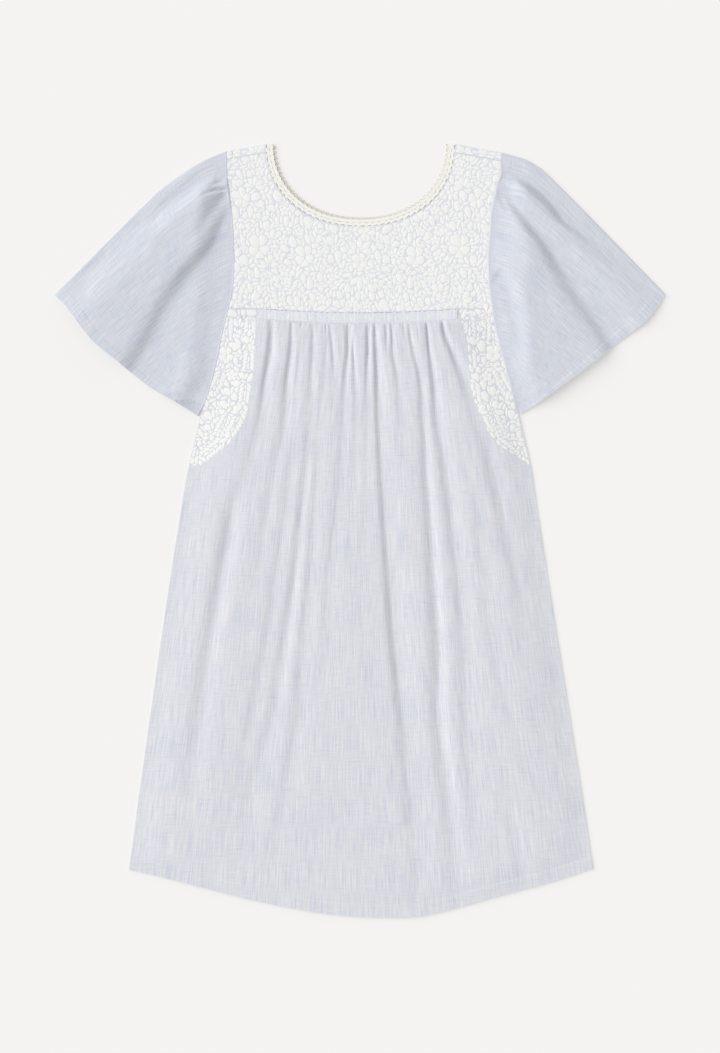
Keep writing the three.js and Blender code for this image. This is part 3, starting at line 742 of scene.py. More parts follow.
# %% Sleeve folds
SLEEVE_FOLDS = {
    "left": [
        Fold((-155, 420), (-170, 414), (-189, 404), 2.6, 1, 1.6, 3),
        Fold((-156, 429), (-167, 424), (-178, 417), 2.4, 0.6, 1.3, 2.4),
        Fold((-155, 408), (-165, 404), (-177, 399), 2.2, 0.5, 1.2, 2.2),
        Fold((-154, 412), (-162, 410), (-171, 409), 2.4, 1, 1.6, 2.4),
        Fold((-154, 397), (-170, 394), (-186, 392), 2.4, 0.8, 1.6, 2.4),
        Fold((-153, 391), (-172, 370), (-192, 338), 1.3, 0.7, 3.4, 8),
        Fold((-151, 330), (-196, 262), (-240, 186), -0.6, -1.8, 8, 14),
        Fold((-152, 404), (-175, 385), (-200, 372), -0.8, -0.4, 3, 6),
        Fold((-290, 330), (-312, 296), (-326, 262), 0.5, 0.8, 8, 10),
    ],
    "right": [
        Fold((166, 428), (180, 422), (196, 410), 3.2, 1, 2.6, 4.4),
        Fold((165, 423), (178, 413), (192, 402), 1.6, 0.6, 1.8, 3),
        Fold((156, 300), (179, 262), (186, 190), 1.2, 1.6, 8, 10),
        Fold((162, 408), (172, 401), (184, 392), 1.8, 0.8, 2, 3.4),
        Fold((166, 432), (176, 428), (189, 419), 2.4, 0.6, 1.3, 2.4),
        Fold((165, 414), (174, 408), (184, 399), 2.4, 0.6, 1.3, 2.4),
        Fold((162, 401), (170, 393), (178, 382), 2.2, 0.5, 1.3, 2.4),
        Fold((160, 390), (167, 378), (174, 364), 1.8, 0.5, 1.3, 2.6),
        Fold((300, 330), (320, 300), (334, 272), 0.5, 0.6, 8, 10),
    ],
}
SLEEVE_TABLES = {
    "left": [
        [
            (378, -150, 0.0, 6, 12), (364, -154, 0.8, 8, 16), (350, -157, 2.8, 10, 24),
            (334, -162, 5.0, 12, 34), (297, -193, 6.6, 15, 46), (258, -217, 7.0, 16, 52),
            (221, -236, 7.8, 16, 54), (189, -254, 8.4, 16, 54), (150, -272, 8.8, 16, 54),
        ],
        [
            (440, -158, 0.0, 5, 7), (432, -161, 4.0, 6, 9), (418, -176, 5.4, 7, 12),
            (405, -191, 5.6, 8, 14), (390, -209, 4.4, 9, 16), (376, -224, 2.8, 10, 18),
            (350, -250, 0.0, 12, 18),
        ],
    ],
    "right": [
        [
            (433, 161, 1.6, 4, 6), (424, 170, 4.6, 5, 8), (410, 190, 6.4, 9, 12),
            (394, 212, 7.6, 12, 14), (378, 231, 7.4, 12, 15), (360, 243, 6.4, 11, 16),
            (345, 262, 2.8, 12, 18), (328, 279, 1.4, 12, 20), (300, 304, 0.0, 12, 20),
        ],
        [
            (406, 159, 1.6, 4, 6), (396, 166, 3.6, 5, 9), (374, 184, 4.8, 8, 16),
            (352, 202, 5.6, 10, 24), (333, 219, 6.0, 11, 32), (302, 238, 6.0, 12, 40),
            (273, 258, 6.2, 14, 46), (239, 284, 7.4, 16, 50), (200, 312, 7.8, 16, 50),
        ],
    ],
}
SLEEVE_CREASES = {
    side: [rows_of(Crease, rows) for rows in tables] for side, tables in SLEEVE_TABLES.items()
}
SLEEVE_PUFF = 10.6
SLEEVE_CREASE_PULL = 1.95
FOLD_DEEPER = 1.8
SLEEVE_SHOULDER_RISE = 36
SLEEVE_EDGE_RISE = 46
SLEEVE_SEAM_RISE = 52
SLEEVE_SEAM_LIFT = 0.1
SHOULDER_REACH = 0.5
SHOULDER_ROUND = {"from": 0.1, "over": 0.25}
SLEEVE_UNEVEN = ((0.5, 21, 30), (0.2, 22, 11))
CREASE_AT_SEAM = 0.75
CREASE_FADE = {"seam": 3, "fold": 8}
SOFT_SHARE = 0.25
SOFT_LEAST = 0.05
SLEEVE_HEM_TURN = 0.25
FOLD_REACH = 0.02
SLEEVE_LENGTH = 262
SLEEVE_ROUND = 296
EDGE_STEP = 0.05
HEM_SHARE = 0.76
ARMHOLE_GAP = 0.12
print("sleeve folds:", {side: len(folds) for side, folds in SLEEVE_FOLDS.items()})

# %% Sleeve places


def sleeve_patch(side):
    """Gives the place on a flat sleeve: `out` from armhole to hem, `down` from fold to underarm."""
    top_line = line_through(SLEEVE_TOP[side])
    hem = line_through(SLEEVE_HEM[side])
    outward = -ARMHOLE_GAP if side == "left" else ARMHOLE_GAP
    side_at = left_side if side == "left" else right_side
    foot = np.array(SLEEVE_HEM[side][-1], float)

    def armhole(down):
        y = mix(SLEEVE_TOP[side][0].y, SLEEVE_FOOT[side], np.asarray(down, float))
        return np.stack([side_at(y) + outward, y], -1)

    def place(out, down):
        out, down = np.broadcast_arrays(np.asarray(out, float), np.asarray(down, float))
        o, d = out[..., None], down[..., None]
        under = mix(armhole(1.0), foot, o)
        edges = mix(armhole(down), hem(down), o)
        ends = mix(top_line(out), under, d)
        first = mix(armhole(0.0), hem(0.0), o)
        last = mix(armhole(1.0), hem(1.0), o)
        return edges + ends - mix(first, last, d)

    return place


print("length of a sleeve's fold in mm:", round(line_through(SLEEVE_TOP["left"]).length))

# %% Sleeve height


def sleeve_height(side, place, x, y, out, down):
    """The puff rises from the edges and the seam, and the creases are pressed into it.

    The clip at the bottom is a soft one, so that a deep crease has a round floor."""
    length = np.linalg.norm(place(out, 0.0) - place(out, 1.0), axis=-1)
    edge_rise = mix(SLEEVE_SHOULDER_RISE, SLEEVE_EDGE_RISE, smooth(out / SHOULDER_REACH))
    from_edge = np.minimum(down / edge_rise, (1 - down) / SLEEVE_EDGE_RISE) * length
    from_seam = np.linalg.norm(place(out, down) - place(0, down), axis=-1)
    below = smooth((down - SHOULDER_ROUND["from"]) / SHOULDER_ROUND["over"])
    seam_rise = mix(SLEEVE_SHOULDER_RISE, SLEEVE_SEAM_RISE, below)
    at_seam = mix(SLEEVE_SEAM_LIFT, 1, smooth(from_seam / seam_rise))
    puff = smooth(from_edge) * at_seam * (SLEEVE_PUFF + rippled(SLEEVE_UNEVEN, x, y))
    creases = SLEEVE_CREASE_PULL * sum(read_crease(rows, x, y) for rows in SLEEVE_CREASES[side])
    creases = creases + FOLD_DEEPER * read_folds(SLEEVE_FOLDS[side], x, y)
    creases = creases * mix(CREASE_AT_SEAM, 1, smooth(from_seam / CREASE_FADE["seam"]))
    creases = creases * smooth(down * length / CREASE_FADE["fold"])
    softness = np.maximum(SOFT_LEAST, SOFT_SHARE * puff)
    height = softness * np.logaddexp(0, (puff - creases) / softness)
    hem_gap = (1 - out) * SLEEVE_LENGTH
    in_hem = smooth((HEM_HEIGHT - hem_gap) / HEM_EDGE)
    in_hem = in_hem * smooth(np.minimum(down, 1 - down) / EDGE_STEP)
    return np.where(puff > 0.01, height, puff) + SLEEVE_HEM_TURN * in_hem


print("highest puff of a sleeve in mm:", SLEEVE_PUFF)

# %% Sleeves
SLEEVE_ROWS = 86
SLEEVE_FRONT_STEPS = 120
SLEEVE_BACK_STEPS = 40
ROUND_STEPS = 8
SEAM_CLOSER = 1.15
LOWER_FROM = 1.4
FOLD_FLAT = 3.5


def sleeve_cloth(side):
    place = sleeve_patch(side)
    radius = TURN_RADIUS - SHELL / 2
    rows = np.linspace(0, 1, SLEEVE_ROWS) ** SEAM_CLOSER
    out = np.unique(np.concatenate([rows, 1 - ROWS_AT_HEM / SLEEVE_LENGTH]))[:, None]
    front = np.linspace(1, 0, SLEEVE_FRONT_STEPS)[None, :]
    back = np.linspace(0, 1, SLEEVE_BACK_STEPS)[None, :]
    turn = np.linspace(0, math.pi, ROUND_STEPS)[1:-1]

    def edge(down, towards):
        rim = place(out[:, 0], down)
        outwards = rim - place(out[:, 0], towards)
        outwards /= np.linalg.norm(outwards, axis=-1, keepdims=True)
        return rim - outwards * TURN_RADIUS, outwards

    fold_middle, fold_outwards = edge(0.0, EDGE_STEP)
    under_middle, under_outwards = edge(1.0, 1 - EDGE_STEP)

    def layer(down):
        flat_places = place(out, down)
        near_fold = smooth(down / FOLD_REACH)[..., None]
        near_under = smooth((1 - down) / FOLD_REACH)[..., None]
        flat_places = mix(fold_middle[:, None], flat_places, near_fold)
        return mix(under_middle[:, None], flat_places, near_under)

    front_places = layer(front)
    lift = sleeve_height(side, place, front_places[..., 0], front_places[..., 1], out, front)
    front_points = np.dstack([front_places, TURN_RADIUS + radius + lift])
    back_places = layer(back)
    back_points = np.dstack([back_places, np.full(back_places.shape[:2], TURN_RADIUS - radius)])

    def turned(middle, outwards, towards_floor):
        flat_places = middle[:, None] + outwards[:, None] * (radius * np.sin(turn))[None, :, None]
        height = TURN_RADIUS + towards_floor * radius * np.cos(turn)
        return np.dstack([flat_places, np.broadcast_to(height, flat_places.shape[:2])])

    points = np.concatenate([
        front_points,
        turned(fold_middle, fold_outwards, 1),
        back_points,
        turned(under_middle, under_outwards, -1),
    ], 1)
    lower = mix(1, HEM_SHARE, smooth(out * LOWER_FROM))
    points[..., 2] = SHELL / 2 + (points[..., 2] - SHELL / 2) * lower
    in_fold = np.linspace(0.3, 3, len(turn))
    around = np.concatenate([
        -front[0] * SLEEVE_ROUND,
        in_fold,
        FOLD_FLAT + back[0] * SLEEVE_ROUND,
        FOLD_FLAT + SLEEVE_ROUND + in_fold,
    ])
    flat = np.stack(np.meshgrid(around, out[:, 0] * SLEEVE_LENGTH, indexing="xy"), -1)
    return cloth_sheet(
        f"{side}_sleeve_cloth", points, flat, sleeve_cotton_painted_shade, closed=True, flip=side == "left"
    )


sleeves = []
for side in ("left", "right"):
    sleeve = sleeve_cloth(side)
    sleeves.append(sleeve)
    settle(sleeve, "slub_cotton", f"{side}_sleeve")

# %% [markdown]
# ## The yokes
# The yokes are two flat strips round the neck. The back one wraps over the shoulder, so its seam
# shows on the front a finger's width below the fold. Here they are only the blue ground, because
# nearly all that shows of them is embroidery.

# %% Yoke cloth
BACK_YOKE_MIDDLE = 1.05
YOKE_TOP = FRONT_FACE - 0.1
YOKE_UNEVEN = ((0.25, 31, 40),)
STRAP_SHARE = 0.3
STRAP_STEPS = 40
SEAM_STEPS = 110
YOKE_ROWS = 18


def yoke_strip(below, shift):
    """The grid of a yoke from the neck to its outer edge, from the left shoulder to the right."""
    neck = neck_line(EDGING_WIDTH + SEAM_GAP, shift)
    ends = neck(0.0), neck(1.0)
    start = (SHOULDER_Y - shoulder_at(ends[0][0]) + below) / neck.length
    end = 1 - (SHOULDER_Y - shoulder_at(ends[1][0]) + below) / neck.length
    top = [shoulder_at(x) - below for x in (SIDES[0].left, SIDES[0].right)]
    left_y = np.linspace(top[0], YOKE_SEAM_Y, STRAP_STEPS)
    right_y = np.linspace(YOKE_SEAM_Y, top[1], STRAP_STEPS)
    seam_x = np.linspace(left_side(YOKE_SEAM_Y), right_side(YOKE_SEAM_Y), SEAM_STEPS)[1:-1]
    outer = np.vstack([
        np.stack([left_side(left_y), left_y], -1),
        np.stack([seam_x, yoke_seam(seam_x)], -1),
        np.stack([right_side(right_y), right_y], -1),
    ])
    share = np.concatenate([
        np.linspace(0, STRAP_SHARE, STRAP_STEPS),
        np.linspace(STRAP_SHARE, 1 - STRAP_SHARE, SEAM_STEPS)[1:-1],
        np.linspace(1 - STRAP_SHARE, 1, STRAP_STEPS),
    ])
    inner = neck(mix(start, end, share))
    return mix(inner[:, None], outer[:, None], np.linspace(0, 1, YOKE_ROWS)[None, :, None])


def yoke_height(x, y):
    return YOKE_TOP + rippled(YOKE_UNEVEN, x, y)


strip = yoke_strip(SHOULDER_TURN, 0)
height = yoke_height(strip[..., 0], strip[..., 1]) - SHELL / 2
# The yoke's ground is the paler copy of the cotton: painted light against the shade between the
# petals.
front_yoke = cloth_sheet("front_yoke_cloth", np.dstack([strip, height]), strip, yoke_cotton_painted_light)
settle(front_yoke, "embroidered_cotton", "front_yoke")

# %% Back yoke
strip = yoke_strip(TURN_RADIUS, BACK_NECK_SHIFT)
seam_strip = yoke_strip(SHOULDER_TURN - SEAM_GAP, 0)
turn_radius = (YOKE_TOP - SHELL / 2 - BACK_YOKE_MIDDLE) / 2
turn = np.linspace(0, math.pi, ROUND_STEPS)[1:-1]
OVERLAP = np.linspace(0, 1, 5)


def yoke_turn(column, order):
    rows = []
    for angle in turn[::order]:
        place = column.copy()
        place[:, 1] += turn_radius * math.sin(angle)
        height = BACK_YOKE_MIDDLE + turn_radius * (1 - math.cos(angle))
        rows.append(np.column_stack([place, np.full(len(place), height)]))
    return rows


def flat_rows(columns, height):
    return [np.column_stack([column, np.full(len(column), height)]) for column in columns]


front_middle = YOKE_TOP - SHELL / 2
overlap = [mix(seam_strip[0], strip[0], t) for t in OVERLAP]
overlap_right = [mix(strip[-1], seam_strip[-1], t) for t in OVERLAP]
points = np.array([
    *flat_rows(overlap, front_middle),
    *yoke_turn(strip[0], -1),
    *flat_rows(strip, BACK_YOKE_MIDDLE),
    *yoke_turn(strip[-1], 1),
    *flat_rows(overlap_right, front_middle),
])
back_yoke = cloth_sheet("back_yoke_cloth", points, points[..., :2], yoke_cotton_painted_light, flip=True)
settle(back_yoke, "embroidered_cotton", "back_yoke")

# %% [markdown]
# ## The white embroidery
# The yoke is filled with white flowers, buds and leaves in satin stitch, so close that only thin
# lines of the blue ground show between them. Satin stitch is a low cushion of thread with a
# smooth edge. One round petal, one leaf and one drop-shaped petal are modelled from a disc, and
# they are then copied more than two thousand times. The flowers and leaf sprays are listed one by
# one, much alike on the left and on the right. The gaps are filled by trial: a small flower or
# petal is tried at many places, and it stays where it hardly covers an earlier one. Last, each
# petal grows or draws back, so that a thin line of blue is left round each flower.

# %% Three petals to copy
PETAL_RIM = 18
PETAL_TOP = 0.84
THREAD_RISE = 0.15
PETAL_SINK = 0.06
CUSHION_SIDE = 0.75
CUSHION_CROWN = 0.25
ROUND_MOST = 0.602
DROP_MOST = 0.497
UV_APART = 900


def petal_width(shape, t):
    """Half the width of a petal, as a share of the most, at share t of its length."""
    t = np.clip(t, 0, 1)
    if shape == "round":
        return t**0.5 * (1 - t) ** 0.32 / ROUND_MOST
    if shape == "leaf":
        return 4 * t * (1 - t)
    return t**0.7 * (1 - t) ** 0.38 / DROP_MOST


def model_petal(shape):
    """The places and faces of one petal, and the corner of the rim that each place goes with."""
    bpy.ops.object.select_all(action="DESELECT")
    bpy.ops.mesh.primitive_circle_add(vertices=PETAL_RIM, radius=0.5, fill_type="NGON")
    petal = bpy.context.object
    petal.name = f"{shape}_petal"
    bpy.ops.object.mode_set(mode="EDIT")
    bpy.ops.mesh.select_all(action="SELECT")
    bpy.ops.mesh.extrude_region_move(TRANSFORM_OT_translate={"value": (0, 0, CUSHION_SIDE)})
    bpy.ops.transform.resize(value=(PETAL_TOP, PETAL_TOP, 1))
    bpy.ops.mesh.poke(offset=CUSHION_CROWN)
    bpy.ops.mesh.select_face_by_sides(number=PETAL_RIM, type="EQUAL", extend=False)
    bpy.ops.mesh.poke(offset=0)
    bpy.ops.object.mode_set(mode="OBJECT")
    for vertex in petal.data.vertices:
        if abs(vertex.co.x) > 1e-4:
            ring = PETAL_TOP if vertex.co.z > 0.3 else 1
            share = petal_width(shape, np.array(vertex.co.y / ring + 0.5))
            vertex.co.x = math.copysign(0.5 * float(share) * ring, vertex.co.x)
    places = np.array([vertex.co for vertex in petal.data.vertices])
    faces = sorted(list(face.vertices) for face in petal.data.polygons)
    bpy.data.objects.remove(petal, do_unlink=True)
    rim = places[:PETAL_RIM, :2]
    ways = np.arctan2(places[:, 1], places[:, 0])[:, None] - np.arctan2(rim[:, 1], rim[:, 0])
    rim_of = np.argmin(1 - np.cos(ways), axis=1)
    print(shape, "petal:", len(places), "points,", len(faces), "faces")
    return places, faces, rim_of


PETALS = {shape: model_petal(shape) for shape in ("round", "leaf", "drop")}

# %% Thread material
THREAD_WHITE = (0.90, 0.895, 0.875)
THREAD_SHADE = (0.81, 0.81, 0.80)


def satin_thread(name, pale, deep):
    look = Look(name, 0.62, 0.2)
    strands, tufts = look.noise((160, 2400), 1, 7), look.noise((260, 500), 1, 8)
    tone = look.weighted((strands, 0.7), (tufts, 0.3))
    look.colour(tone, [(0.34, deep), (0.54, pale)])
    look.bump(tone, 0.5)
    return look.material


white_thread = satin_thread("white_satin_thread", THREAD_WHITE, THREAD_SHADE)
print("material:", white_thread.name)

# %% Motifs
WHOLE = np.ones(PETAL_RIM)
Petal = namedtuple("Petal", "shape x y length width turn reach", defaults=(WHOLE,))
Motif = namedtuple("Motif", "kind x y size turn", defaults=(0,))


def around(motif, shape, turn, away, length, width, spin=0):
    """One petal of a motif: `turn` is its way from the middle, in degrees from straight up.

    The rest are shares of the motif's size, and `spin` turns the petal about itself."""
    angle = math.radians(motif.turn + turn)
    return Petal(
        shape,
        motif.x - math.sin(angle) * away * motif.size,
        motif.y + math.cos(angle) * away * motif.size,
        length * motif.size,
        width * motif.size,
        motif.turn + turn + spin,
    )


KINDS = {
    "pansy": [
        ("drop", 32, 0.37, 0.76, 0.56), ("drop", -28, 0.36, 0.72, 0.52),
        ("drop", 66, 0.35, 0.68, 0.46), ("drop", -62, 0.34, 0.66, 0.44),
        ("drop", 118, 0.3, 0.58, 0.54), ("drop", -116, 0.3, 0.58, 0.52),
        ("drop", 180, 0.34, 0.62, 0.56),
        *[("leaf", turn, 0.84, 0.6, 0.22) for turn in (2, 92, -90, 148, -150)],
    ],
    "bloom": [("drop", turn, 0.42, 0.84, 0.6) for turn in range(0, 360, 72)],
    "trefoil": [
        *[("drop", turn, 0.46, 0.95, 0.6) for turn in (0, 54, -52)],
        *[("leaf", turn, 0.5, 0.9, 0.3) for turn in (150, -150)],
    ],
    "fan_flower": [
        *[("drop", turn, 0.55, 1, 0.52) for turn in (-88, -44, 0, 44, 88)],
        ("drop", 180, 0.42, 0.7, 0.4),
    ],
    "rosebud": [
        ("drop", 16, 0.12, 1.3, 0.86, 8), ("drop", -18, 0.08, 1.2, 0.8, -8),
        ("leaf", 70, 0.66, 1.4, 0.46, -50), ("leaf", -70, 0.66, 1.4, 0.46, 50),
        ("drop", 180, 0.98, 0.7, 0.4),
    ],
    "tulip": [
        ("drop", 8, 0.3, 1.5, 0.72),
        ("leaf", 42, 0.48, 1.45, 0.5, -18), ("leaf", -38, 0.46, 1.45, 0.5, 16),
        ("leaf", 150, 0.76, 1, 0.48, -40), ("leaf", -150, 0.76, 1, 0.48, 40),
    ],
    "bud": [
        ("drop", 14, 0.14, 1.4, 0.8, 4), ("drop", -18, 0.1, 1.2, 0.76, -10),
        ("leaf", 140, 0.78, 1.2, 0.5, -60), ("leaf", -140, 0.78, 1.2, 0.5, 60),
    ],
    "butterfly": [
        ("drop", 24, 0.3, 1.5, 0.66, -14), ("drop", -24, 0.3, 1.5, 0.66, 14),
        ("round", 180, 0.42, 0.8, 0.6),
    ],
    "fan": [("leaf", turn, 0.6, 1.05, 0.42, turn * 0.12) for turn in (-80, -40, 0, 40, 80)],
}


def petals_of(motif):
    return [around(motif, *row) for row in KINDS[motif.kind]]


def leaf_spray(places, length=8.4, width=3.4, spacing=4.8):
    """Pairs of slanted leaves on both sides of a stem through a few places."""
    stem = line_through([Place(*place) for place in places])
    petals = []
    for n in range(int(stem.length / spacing)):
        share = (n + 0.3) * spacing / stem.length
        at, ahead = stem(share), stem(min(1, share + 0.06))
        heading = math.degrees(math.atan2(-(ahead[0] - at[0]), ahead[1] - at[1]))
        for side in (-1, 1):
            turn = math.radians(heading + side * 52)
            away = length * 0.54
            petals.append(Petal(
                "leaf",
                at[0] - math.sin(turn) * away,
                at[1] + math.cos(turn) * away,
                length * (1 - 0.2 * share),
                width,
                heading + side * 44,
            ))
    return petals


print("motifs:", ", ".join(KINDS))

# %% [markdown]
# ## Where the flowers are
# The places are given for the left half, in the frame of the dress. On the right the same motifs
# are mirrored, each a little off its place, as two halves that were sewn freehand.

# %% Flowers of the front yoke
MIDDLE_FLOWER = Motif("pansy", 0, 311, 16, 6)
LARGE_FLOWERS = rows_of(Motif, [
    ("pansy", -117, 329, 17, 2), ("pansy", -64, 318, 15, 4), ("pansy", -137, 386, 14, 30),
    ("fan_flower", -122, 399, 9.5, -10), ("pansy", -147, 437, 13, 10),
    ("fan_flower", -120, 438, 9, 0),
])
SMALL_FLOWERS = rows_of(Motif, [
    ("rosebud", -132, 312, 9.4, 20), ("bud", -119, 301, 8, 176), ("bud", -116.5, 281, 7, 180),
    ("bud", -127, 283, 6.6, 178), ("rosebud", -104, 314, 6, -30), ("rosebud", -98, 293, 7, 200),
    ("bloom", -93, 319, 7), ("bloom", -87, 301, 6.6), ("bloom", -84, 290, 5.6),
    ("bloom", -88, 337, 6), ("bud", -78, 323, 4.8, 0), ("bud", -77, 298, 5.6, 20),
    ("rosebud", -101, 373, 6.6, 10), ("rosebud", -108, 352, 8, -8), ("bloom", -87, 371, 6),
    ("tulip", -85, 356, 7.6, -6), ("bud", -95.5, 358, 6, 8), ("tulip", -143, 366, 8.4, 14),
    ("tulip", -127, 366, 8.4, -4), ("bud", -117, 364, 5.6, 0), ("bud", -129, 353, 6.6, 12),
    ("bud", -120, 354, 6.6, 0), ("rosebud", -113, 377, 7, 14), ("tulip", -58, 291, 8.6, 176),
    ("rosebud", -46, 296, 8, 170), ("bud", -40, 311, 6, 0), ("rosebud", -33, 303, 6.4, -20),
    ("bloom", -42, 322, 6.6), ("rosebud", -33, 335, 8, 10), ("butterfly", -23.5, 313, 10, -4),
    ("rosebud", -17, 325, 6.4, 40), ("bud", -46, 282, 6, 200), ("rosebud", -14, 283, 8, 160),
    ("bud", -24, 276, 7.4, 180), ("bloom", -44, 268, 6.4), ("bud", -55, 272, 7, 190),
    ("bud", -72, 264, 7.6, 0), ("bud", -80, 265, 7, 10), ("bloom", -8, 264, 6.4),
    ("bloom", -108, 391, 8), ("bud", -127, 411, 7, 0), ("butterfly", -137, 411, 8, 20),
    ("bud", -141, 427, 7.6, 10), ("bud", -152, 423, 8.4, -10), ("bloom", -116, 427, 6),
    ("bloom", -116, 417, 5.6), ("bud", -147, 414, 6, 0), ("bud", -108, 406, 6, 20),
    ("bloom", -70, 347, 5.6), ("butterfly", -58, 335, 7.6, 10), ("bud", -20, 342, 6, 20),
])
FANS = rows_of(Motif, [
    ("fan", 0, 322, 14, 0), ("fan", 0, 298, 15, 180), ("fan", -65, 306, 15, 180),
    ("fan", -119, 316, 15, 186), ("fan", -62, 328, 12, 6), ("fan", -2, 282, 12, 180),
])
SPRAYS = [
    ((-124, 311), (-131, 298), (-141, 283), (-145, 268)),
    ((-112, 308), (-107, 290), (-105, 275), (-100, 262)),
    ((-8, 297), (-22, 291), (-36, 281), (-42, 274)), ((-66, 298), (-70, 284), (-78, 272)),
    ((-64, 292), (-62, 280), (-56, 264)), ((-141, 346), (-141, 335), (-139, 324)),
    ((-50, 337), (-46, 346), (-44, 352)), ((-126, 322), (-130, 336), (-128, 346)),
    ((2, 276), (2, 262)),
]
SIDE_FLOWERS = rows_of(Motif, [
    ("bud", -135, 256, 6.6, 160), ("rosebud", -144, 240, 7, 10), ("bloom", -144, 229, 7),
    ("rosebud", -131, 220, 6.6, 0), ("pansy", -155, 203, 12, 0), ("bud", -144, 196, 6, 0),
    ("bloom", -148, 180, 6.6), ("rosebud", -136, 178, 6, 0), ("rosebud", -153, 160, 7, 10),
    ("rosebud", -157, 145, 7.4, 10), ("bud", -170, 158, 7, 30), ("rosebud", -141, 141, 7, 60),
    ("rosebud", -175, 132, 8, 20), ("bud", -168, 147, 6, 0), ("bloom", -164, 126, 6.4),
    ("rosebud", -176, 119, 6.6, 30), ("bud", -184, 112, 7, 10), ("bloom", -166, 114, 6),
    ("bud", -186, 104, 6.6, 160), ("bloom", -192, 83, 6),
])
SIDE_SPRAYS = [
    ((-127.5, 250), (-127.5, 238), (-128, 228)), ((-128, 212), (-128.5, 200), (-130, 186)),
    ((-132, 173), (-133, 162), (-134.5, 149)), ((-140, 134), (-145, 122), (-153, 110)),
    ((-157, 106), (-167, 98), (-182, 86)), ((-152, 250), (-154, 238), (-154, 220)),
    ((-160, 186), (-165, 172), (-172, 160)), ((-188, 100), (-188, 92), (-190, 84)),
    ((-153, 136), (-158, 124), (-166, 108)),
]
Inner = namedtuple("Inner", "y left right")
SIDE_EDGE = rows_of(Inner, [
    (262, -118, 114), (240, -120, 118), (211, -121.4, 125), (183, -123, 127), (155, -127.6, 131),
    (127, -132.4, 142), (108, -144, 153), (96, -157, 165), (87, -168, 180), (75, -185, 198),
])
print("flowers placed by hand:", 1 + 2 * len(LARGE_FLOWERS + SMALL_FLOWERS + SIDE_FLOWERS))

# %% The right half and the petals of a list
FLOWER_GROWTH = 1.28
YOKE_LEAF = (12, 4.6, 5.6)
SIDE_LEAF = (10, 3.8, 4.6)


def mirrored(motif, rng):
    shift = rng.normal(0, 0.8, 3)
    return motif._replace(
        x=-motif.x + shift[0], y=motif.y + shift[1], turn=-motif.turn + 6 * shift[2]
    )


def groups_of(motifs, sprays, rng, leaf):
    """One list of petals for each motif and spray, of both halves."""
    both = [*motifs, *(mirrored(motif, rng) for motif in motifs)]
    groups = [petals_of(m._replace(size=m.size * FLOWER_GROWTH)) for m in both]
    for spray in sprays:
        groups.append(leaf_spray(spray, *leaf))
        groups.append(leaf_spray([(-x, y) for x, y in spray], *leaf))
    return groups


# %% Cells under a petal
CELL = 0.5


def stencil(petal):
    """The cells that a petal covers, as steps from the cell at its middle."""
    reach = int(petal.length / 2 / CELL) + 2
    j, i = np.meshgrid(np.arange(-reach, reach + 1), np.arange(-reach, reach + 1))
    angle = math.radians(petal.turn)
    across = (j * math.cos(angle) + i * math.sin(angle)) * CELL
    along = (i * math.cos(angle) - j * math.sin(angle)) * CELL
    share = along / petal.length + 0.5
    inside = (share > 0) & (share < 1)
    inside &= np.abs(across) <= 0.5 * petal.width * petal_width(petal.shape, share)
    return i[inside], j[inside]


def shrink(free, steps):
    """The free cells that are at least so many steps from a taken one."""
    for _ in range(steps):
        inner = free.copy()
        inner[1:] &= free[:-1]
        inner[:-1] &= free[1:]
        inner[:, 1:] &= free[:, :-1]
        inner[:, :-1] &= free[:, 1:]
        free = inner
    return free


def petal_columns(petals):
    """The x, y, length, width and turn of many petals, each as a column."""
    return np.array([petal[1:6] for petal in petals], float).T[:, :, None]


def to_cloth(x, y, turn, across, along):
    """Places on the dress of places on petals that lie at x and y, turned."""
    angle = np.radians(turn)
    at_x = x + across * np.cos(angle) - along * np.sin(angle)
    return at_x, y + across * np.sin(angle) + along * np.cos(angle)


print("cells are", CELL, "mm wide")

# %% Filling the gaps
# How much of a petal may lie on earlier ones: in a flower, and in the gaps.
MOST_SHARED = 0.46
FILL_SHARED = 0.12
SCALES = (1, 0.86, 0.72)
# The room that a scattered flower and a petal need, as shares of their size.
FLOWER_CORE = 0.8
FLOWER_ROOM = 0.3
PETAL_ROOM = 0.36
# The ways in which a petal is tried, counted from the nearest flower outwards.
TURNS = 24
FILL_TURNS = (0, 30, -30, 60, -60, 90)
# The last growth: the part that stays, the steps outwards in mm and the most to gain.
CORE = 0.3
STEP_OUT = 0.2
LONGEST = 16
LEAF_GROWTH = 0.35
PETAL_GROWTH = 1
SPREAD_STEPS = 2
SMALLEST = 9
# Half the line of cloth between flowers. Petals of one flower lie on each other instead.
HALF_LINE = 0.22
FLOWER_LINE = -0.14
RIM_UNEVEN = 0.07
FILL_SIZES = [
    ("leaf", 11, 4.6), ("drop", 8, 5.4), ("leaf", 9, 3.8), ("drop", 6.4, 4.4), ("leaf", 7.4, 3.2)
]


